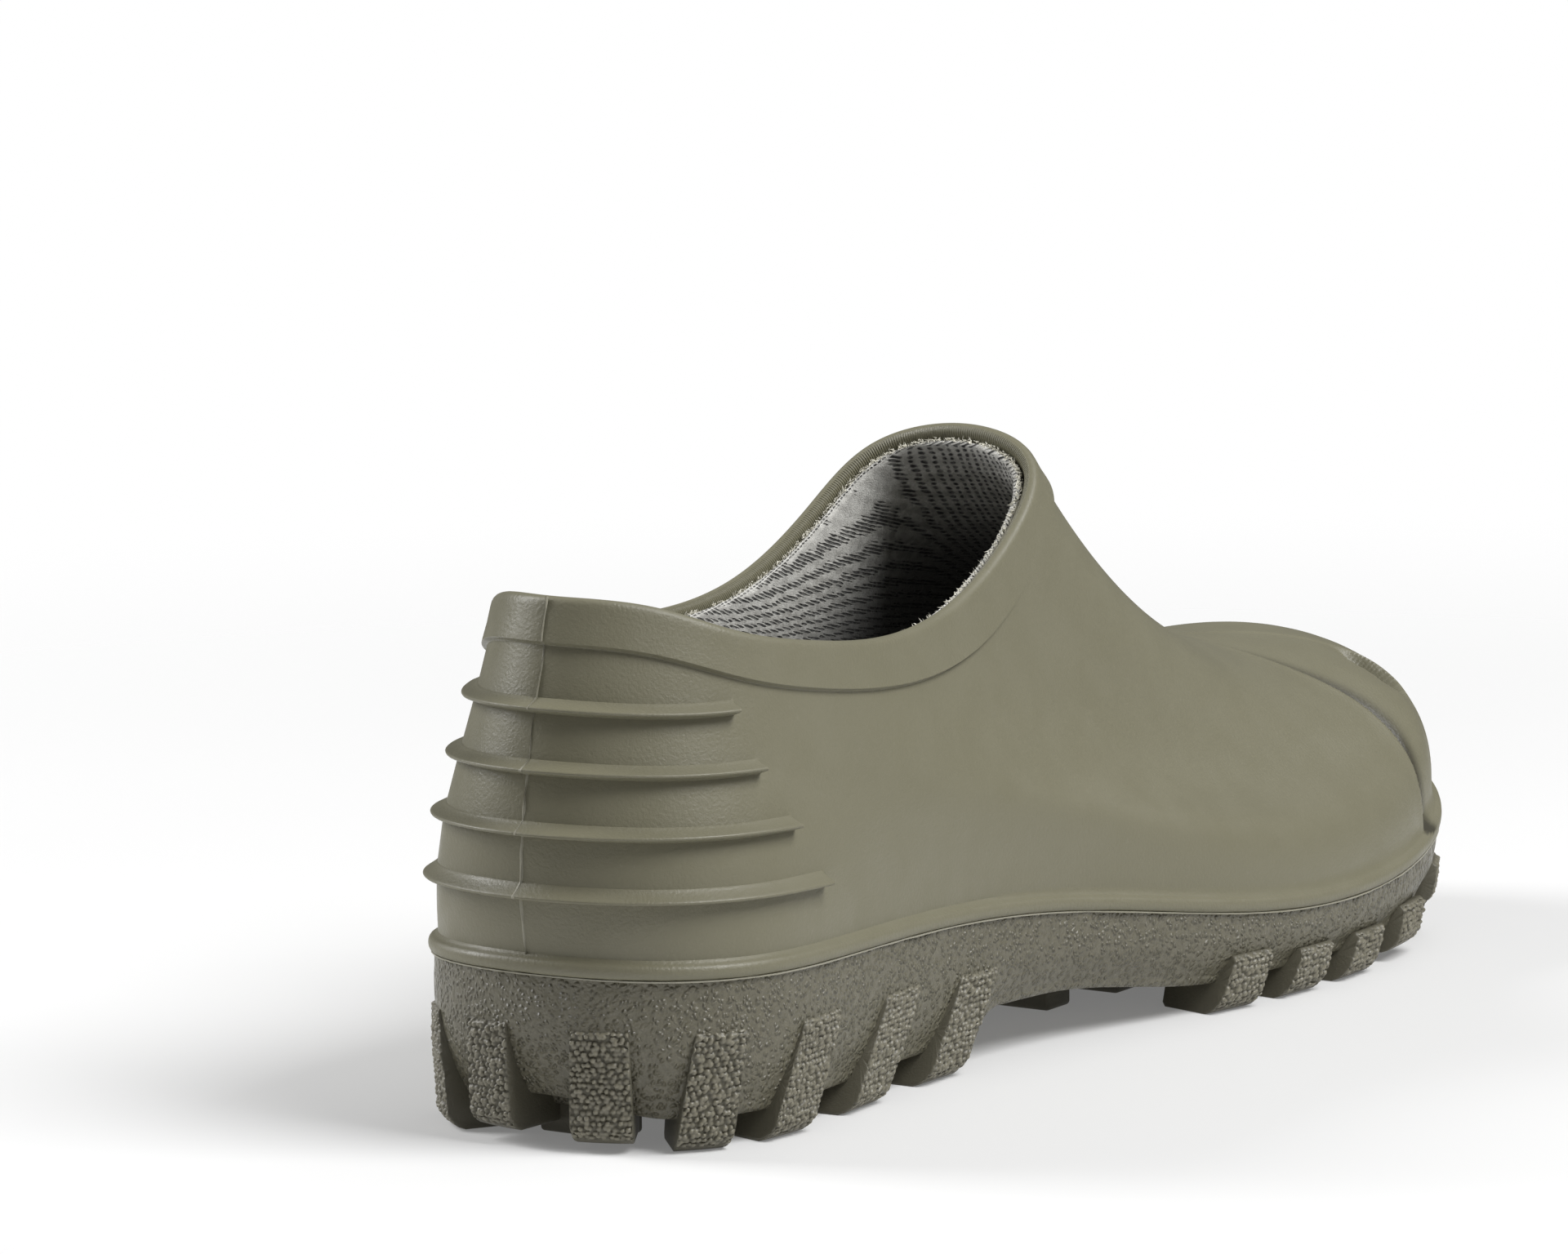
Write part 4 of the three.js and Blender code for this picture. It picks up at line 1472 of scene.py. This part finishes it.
    def tread_bars(self) -> bpy.types.Object:
        """The straight bars across the middle of the tread."""
        parts = []
        for along, half in self.bars:
            edges = np.array([along - self.bar_width / 2, along + self.bar_width / 2])
            low = float(self.ground(edges).max())
            Shape.alone()
            bpy.ops.mesh.primitive_cube_add(size=1.0)
            bar = bpy.context.object
            size = Vector((2 * half, self.bar_width, self.tread + 2.0)) * MM
            x, y = self.last.shift[0] + 2.0, self.last.shift[1] + along
            centre = Vector((x, y, low + self.tread / 2 + 1.0)) * MM
            bar.data.transform(Matrix.LocRotScale(centre, None, size))
            bevel = bar.modifiers.new("edges", "BEVEL")
            bevel.width, bevel.segments = 0.9 * MM, 3
            bpy.ops.object.modifier_apply(modifier=bevel.name)
            Shape.map(bar, np.zeros((len(bar.data.vertices), 2)))
            parts.append(bar)
        made = Shape.join(parts, "tread_bars")
        Shape.smooth(made, 40)
        return made

    def build(self, wall: bpy.types.Material, lug: bpy.types.Material) -> list:
        """Builds and dresses the outsole's pieces.

        Args:
            wall: Finish of the side wall and bottom.
            lug: Finish of the lugs.

        Returns:
            The pieces.
        """
        pieces = [dress(self.body(), wall)]
        pieces += [dress(self.lugs(outer), lug) for outer in (True, False)]
        pieces.append(dress(self.tread_bars(), lug))
        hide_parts("outsole")
        return pieces


@dataclass
class Lining:
    """The knitted sock inside the wall, its frayed top edge and its felt sole."""

    last: Last
    wall: Wall
    upper: Upper
    gap: float = 0.3
    thickness: float = 1.1
    edge_below: float = 0.75
    columns: int = 420
    yarn_count: int = 3200
    yarn_rings: int = 4
    yarn_sides: int = 4
    longest_face: float = 2.2
    seed: int = 42
    up_rows: int = 6
    down_rows: int = 56
    crown_in: float = 0.35
    sole_inset: float = 5.4

    def inward(self, t: Array, distance: Array, depth: float) -> Array:
        """Points at a depth behind the wall."""
        return self.wall.point(t, distance) - self.wall.normal(t, distance) * depth

    def inner(self, t: Array, distance: Array) -> Array:
        """Points of the sock's inner face, slightly rumpled."""
        depth = self.upper.thickness + self.gap + self.thickness
        points = self.wall.point(t, distance)
        ruffle = 0.28 * soft_noise(points, 11.0, 31) + 0.14 * soft_noise(points, 3.4, 32)
        return points - self.wall.normal(t, distance) * (depth + ruffle)[:, None]

    def sock(self) -> bpy.types.Object:
        """The sock as a closed wall of cloth."""
        outside = self.upper.thickness + self.gap
        floor = self.upper.web - self.upper.rand_height + self.gap
        down = np.linspace(0, 1, self.down_rows) ** 1.15
        rise = np.linspace(0.05, 1.0, self.up_rows)
        crown = 1 + self.up_rows
        count = crown + 1 + len(down) + 1
        stations = np.linspace(0, self.last.round, self.columns + 1)
        table = np.empty((count, self.columns + 1, 3))
        free = self.wall.length(stations) - self.edge_below - 0.9
        table[0] = self.upper.floor_point(stations, -outside, floor)
        for k, share in enumerate(rise):
            table[1 + k] = self.inward(stations, share * free, outside)
        table[crown] = self.inward(stations, free + 0.4, outside + self.crown_in)
        for k, share in enumerate(down):
            table[crown + 1 + k] = self.inner(stations, free * (1 - 0.96 * share))
        table[-1] = self.upper.floor_point(stations, -outside - self.thickness, floor)
        table[:, -1] = table[:, 0]
        girth = np.zeros((count, self.columns + 1))
        girth[:, 1:] = np.cumsum(np.linalg.norm(np.diff(table, axis=1), axis=2), axis=1)
        risen = np.zeros((count, self.columns + 1))
        risen[1:crown] = rise[:, None] * free
        risen[crown] = free
        risen[crown + 1:-1] = free * (1 - 0.96 * down)[:, None]

        def place(c: Array, r: Array) -> Array:
            """Grid numbers to the sock's skin."""
            row = np.round(r).astype(int) % count
            return self.last.placed(table[row, np.round(c).astype(int)])

        def cloth_map(c: Array, r: Array) -> Array:
            """Lengths round and down the sock, and depth below its edge, in millimetres."""
            row, column = np.round(r).astype(int) % count, np.round(c).astype(int)
            up = risen[row, column]
            return np.stack([girth[row, column], 500.0 - up, free[column] - up], 1)

        made = Shape.grid("lining_knit_sock", self.columns, count, place, uv=cloth_map)
        Shape.smooth(made, 80)
        return made

    def edge_yarn(self) -> bpy.types.Object:
        """The frayed yarn ends that stand out of the sock's cut edge, from one grid cut apart."""
        rng = np.random.default_rng(self.seed)
        t = rng.uniform(0, self.last.round, self.yarn_count)
        rim_pull = rng.uniform(0, 1, self.yarn_count) < 0.5
        t = np.where(rim_pull, np.mod(self.last.toe + (t - self.last.toe) * 0.8, self.last.round), t)
        length = self.wall.length(t)
        deep = self.upper.thickness + self.gap + rng.uniform(-0.6, 0.5, self.yarn_count)
        distance = length - self.edge_below - rng.uniform(0.4, 1.5, self.yarn_count)
        normal = self.wall.normal(t, distance)
        root = self.wall.point(t, distance) - normal * deep[:, None]
        up = self.wall.point(t, distance + 0.8) - self.wall.point(t, distance)
        up /= np.linalg.norm(up, axis=1, keepdims=True)
        along = np.cross(up, normal)
        reach = rng.uniform(0.3, 0.8, self.yarn_count)
        way = (up * rng.uniform(0.25, 1.0, self.yarn_count)[:, None]
               - normal * rng.uniform(0.05, 0.8, self.yarn_count)[:, None]
               + along * rng.uniform(-1.1, 1.1, self.yarn_count)[:, None])
        way /= np.linalg.norm(way, axis=1, keepdims=True)
        curl = rng.normal(0, 0.28, (self.yarn_count, 3))
        thick = rng.uniform(0.09, 0.19, self.yarn_count)
        rings, sides = self.yarn_rings, self.yarn_sides
        frame_a = np.cross(way, up + 0.3)
        frame_a /= np.linalg.norm(frame_a, axis=1, keepdims=True)
        frame_b = np.cross(way, frame_a)
        parts = np.empty((self.yarn_count, rings, sides + 1, 3))
        for k in range(rings):
            f = k / (rings - 1)
            centre = root + way * (reach * f)[:, None] + curl * (f * f)
            for j in range(sides + 1):
                a = 2 * math.pi * (j % sides) / sides
                girth = (thick * (1.0 - 0.8 * f))[:, None] if k < rings - 1 else 0.004
                parts[:, k, j] = centre + (frame_a * math.cos(a) + frame_b * math.sin(a)) * girth

        def place(c: Array, r: Array) -> Array:
            """Grid numbers to yarn tubes."""
            column = np.round(c).astype(int)
            yarn = np.minimum(column // (sides + 1), self.yarn_count - 1)
            return self.last.placed(parts[yarn, np.round(r).astype(int), column % (sides + 1)])

        columns = self.yarn_count * (sides + 1) - 1
        made = Shape.grid("lining_edge_yarn", columns, rings - 1, place, weld=1e-7)
        bpy.context.tool_settings.mesh_select_mode = (False, False, True)
        mesh = made.data
        corner = np.array([v.co for v in mesh.vertices])
        spans = [np.ptp(corner[list(face.vertices)], axis=0).max() for face in mesh.polygons]
        picked = [bool(span > self.longest_face * MM) for span in spans]
        bpy.ops.object.mode_set(mode="EDIT")
        bpy.ops.mesh.select_all(action="DESELECT")
        bpy.ops.object.mode_set(mode="OBJECT")
        mesh.polygons.foreach_set("select", picked)
        bpy.ops.object.mode_set(mode="EDIT")
        bpy.ops.mesh.delete(type="FACE")
        bpy.ops.object.mode_set(mode="OBJECT")
        Shape.smooth(made, 80)
        return made

    def build(self, knit: bpy.types.Material, yarn: bpy.types.Material, felt: bpy.types.Material) -> list:
        """Builds and dresses the lining's pieces.

        Args:
            knit: Finish of the sock.
            yarn: Finish of the yarn ends.
            felt: Finish of the sock's sole.

        Returns:
            The pieces.
        """
        sock = dress(self.sock(), knit)
        ends = dress(self.edge_yarn(), yarn)
        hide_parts("lining_sock")
        floor = self.upper.web - self.upper.rand_height + self.gap
        sole = Slab(self.last, self.upper, "sock_felt_sole", self.sole_inset, floor, FELT, 0.0, 0.0)
        felt_sole = dress(sole.build(), felt)
        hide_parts("sock_sole")
        sole.area()
        return [sock, ends, felt_sole]


@dataclass
class Slab:
    """A sheet or pad on the curved floor, dished up round the heel."""

    last: Last
    upper: Upper
    name: str
    inset: float
    low: float
    thickness: float
    low_cup: float
    high_cup: float
    columns: int = 300
    edge_round: float = 0.35
    dish: tuple = ((10.0, 0.0), (8.0, 0.05), (6.0, 0.22), (4.0, 0.5), (2.4, 0.8), (1.2, 1.0), (0.4, 1.0))

    def point(self, t: Array, inward: float, level: float, cup: float, share: float) -> Array:
        """Points of one ring of the slab."""
        found = self.upper.floor_point(t, -self.inset - inward, level)
        found[:, 2] += share * cup * (1 - ease(2, 4, self.last.from_heel(t)))
        return found

    def area(self) -> float:
        """Area of the slab's outline in square metres."""
        t = np.linspace(0, self.last.round, 400, endpoint=False)
        p = self.point(t, 0.0, 0.0, 0.0, 0.0) * MM
        return 0.5 * abs(float(np.sum(p[:, 0] * np.roll(p[:, 1], -1) - p[:, 1] * np.roll(p[:, 0], -1))))

    def build(self) -> bpy.types.Object:
        """The slab's closed skin."""
        corner = min(self.edge_round, self.thickness / 3)
        high = self.low + self.thickness
        rings = [(inward, self.low, self.low_cup, share) for inward, share in self.dish]
        rings += [(0.0, self.low + corner, self.low_cup, 1.0), (0.0, high - corner, self.high_cup, 1.0)]
        rings += [(inward, high, self.high_cup, share) for inward, share in reversed(self.dish)]
        rings = [rings[0]] + rings + [rings[-1]]
        closed = (0, len(rings) - 1)

        def place(c: Array, r: Array) -> Array:
            """Grid numbers to the slab's skin."""
            t = np.mod(c / self.columns, 1.0) * self.last.round
            row = np.round(r).astype(int)
            found = np.empty((len(c), 3))
            for k, ring in enumerate(rings):
                pick = row == k
                s = t[pick]
                ends = [self.point(w, *ring) for w in (s, self.last.round - s)]
                found[pick] = midline(ends[0], ends[1], np.full(len(s), float(k in closed)))
            return self.last.placed(found)

        def flat_map(c: Array, r: Array) -> Array:
            """Plan coordinates in millimetres."""
            return place(c, r)[:, :2]

        made = Shape.grid(self.name, self.columns, len(rings) - 1, place, uv=flat_map)
        Shape.smooth(made, 40)
        return made


@dataclass
class Footbed:
    """The loose insole: foam with a cloth face."""

    last: Last
    upper: Upper
    gap: float = 0.3
    inset: float = 6.2
    foam: float = 5.0
    cloth: float = 1.1
    cup: float = 5.0

    def build(self, foam: bpy.types.Material, cloth: bpy.types.Material) -> list:
        """Builds and dresses the insole's pieces.

        Args:
            foam: Finish of the foam.
            cloth: Finish of its cloth face.

        Returns:
            The pieces.
        """
        floor = self.upper.web - self.upper.rand_height + self.gap + FELT + self.gap
        pad = Slab(self.last, self.upper, "insole_foam", self.inset, floor, self.foam, 0.0, self.cup)
        top = floor + self.foam + self.gap
        cover = Slab(self.last, self.upper, "insole_cloth", self.inset, top, self.cloth, self.cup, self.cup)
        pieces = [dress(pad.build(), foam), dress(cover.build(), cloth)]
        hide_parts("footbed_foam")
        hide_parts("footbed_cover")
        cover.area()
        return pieces


@dataclass
class Studio:
    """Floor, soft lights and camera."""

    place: tuple = (1043.67, -1670.16, 408.16)
    aim: tuple = (-22.27, -21.94, 80.71)
    roll: float = 0.597
    lens: float = 229.55
    sensor: float = 36.0
    floor_radius: float = 1.5
    aim_height: float = 0.06
    white: tuple = (1.0, 1.0, 1.0, 1.0)
    floor_glow: float = 0.16
    sky: float = 0.14

    def camera(self) -> None:
        """Sets up the camera."""
        place, aim = Vector(self.place), Vector(self.aim)
        forward = (aim - place).normalized()
        right = forward.cross(Vector((0, 0, 1))).normalized()
        up = right.cross(forward)
        turned = Matrix.Rotation(math.radians(self.roll), 3, forward)
        axes = Matrix((turned @ right, turned @ up, -forward)).transposed()
        data = bpy.data.cameras.new("camera")
        data.lens, data.sensor_width = self.lens, self.sensor
        data.clip_start, data.clip_end = 0.05, 60.0
        camera = bpy.data.objects.new("camera", data)
        camera.matrix_world = Matrix.Translation(place * MM) @ axes.to_4x4()
        bpy.context.scene.collection.objects.link(camera)
        bpy.context.scene.camera = camera

    def floor(self) -> None:
        """Lays the pale floor."""
        Shape.alone()
        bpy.ops.mesh.primitive_circle_add(vertices=96, radius=self.floor_radius, fill_type="NGON")
        floor = bpy.context.object
        floor.name = "floor"
        g = Graph("pale_floor")
        tone = g.noise(400.0, 3.0).between(0.3, 0.7)
        far = g.node("ShaderNodeVectorMath", {"operation": "LENGTH"}, "Value", g.place(1.0))
        g.feed(g.shader.inputs["Alpha"], far.between(0.22, self.floor_radius * 0.45, 1.0, 0.0))
        color = g.mix(tone, (0.66, 0.66, 0.66, 1.0), (0.68, 0.68, 0.68, 1.0))
        g.dress(color, 0.7, None, Specular_IOR_Level=0.2, Emission_Strength=self.floor_glow)
        g.shader.inputs["Emission Color"].default_value = self.white
        floor.data.materials.append(g.material)

    def light(self, name: str, azimuth: float, elevation: float, distance: float, size: tuple,
              power: float) -> None:
        """Adds one soft box that faces the shoe.

        Args:
            name: Name of the light.
            azimuth: Degrees round from the heel side, towards the outer side.
            elevation: Degrees above the floor.
            distance: Distance in metres.
            size: Width and height in metres.
            power: Watts.
        """
        a, e = math.radians(azimuth), math.radians(elevation)
        way = Vector((math.sin(a) * math.cos(e), -math.cos(a) * math.cos(e), math.sin(e)))
        data = bpy.data.lights.new(name, "AREA")
        data.shape, data.size, data.size_y, data.energy = "RECTANGLE", size[0], size[1], power
        light = bpy.data.objects.new(name, data)
        turned = way.to_track_quat("Z", "Y").to_matrix().to_4x4()
        light.matrix_world = Matrix.Translation(Vector((0, 0, self.aim_height)) + way * distance) @ turned
        bpy.context.scene.collection.objects.link(light)

    def build(self) -> None:
        """Builds the studio."""
        self.camera()
        self.floor()
        self.light("right_box", 96, 50, 1.5, (0.8, 0.8), 24.5)
        self.light("left_box", -72, 30, 1.5, (0.5, 1.0), 17.0)
        self.light("top_box", 165, 66, 1.6, (1.0, 1.0), 3.5)
        world = bpy.data.worlds.new("studio")
        bpy.context.scene.world = world
        world.use_nodes = True
        nodes, links = world.node_tree.nodes, world.node_tree.links
        nodes["Background"].inputs[0].default_value = self.white
        nodes["Background"].inputs[1].default_value = self.sky
        seen = nodes.new("ShaderNodeBackground")
        seen.inputs[0].default_value = self.white
        path, mix = nodes.new("ShaderNodeLightPath"), nodes.new("ShaderNodeMixShader")
        links.new(path.outputs["Is Camera Ray"], mix.inputs[0])
        links.new(nodes["Background"].outputs[0], mix.inputs[1])
        links.new(seen.outputs[0], mix.inputs[2])
        links.new(mix.outputs[0], nodes["World Output"].inputs[0])
        bpy.context.scene.view_settings.view_transform = "Standard"


def main() -> None:
    """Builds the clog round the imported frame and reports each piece."""
    logging.basicConfig(level=logging.INFO, format="%(message)s")
    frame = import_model()
    Shape.alone()
    last = Last()
    wall = Wall(last)
    upper = Upper(last, wall)
    thin, thin_worn = (0.27, 0.258, 0.195, 1.0), (0.31, 0.298, 0.235, 1.0)
    flash = SmoothPlastic("flash_plastic", thin, thin_worn, paints_groove_shade=False)
    pieces = upper.build(SmoothPlastic().build(), flash.build())
    pieces += Outsole(last, upper).build(GrainedPlastic().build(), PebbledPlastic().build())
    yarn = Fibre("edge_yarn", (0.72, 0.69, 0.58, 1.0), (0.92, 0.90, 0.80, 1.0), 0.4)
    felt = Fibre("sock_felt", (0.22, 0.22, 0.21, 1.0), (0.34, 0.34, 0.32, 1.0), 0.7)
    pieces += Lining(last, wall, upper).build(KnitCloth().build(), yarn.build(), felt.build())
    foam = CellFoam().build()
    pieces += Footbed(last, upper).build(foam, WovenCloth().build())
    block = frame["nodes"]["heel_filler"]
    block.data.materials.clear()
    block.data.materials.append(foam)
    Studio().build()
    for piece in pieces:
        log.info("%s: %d faces", piece.name, len(piece.data.polygons))


if __name__ == "__main__":
    main()
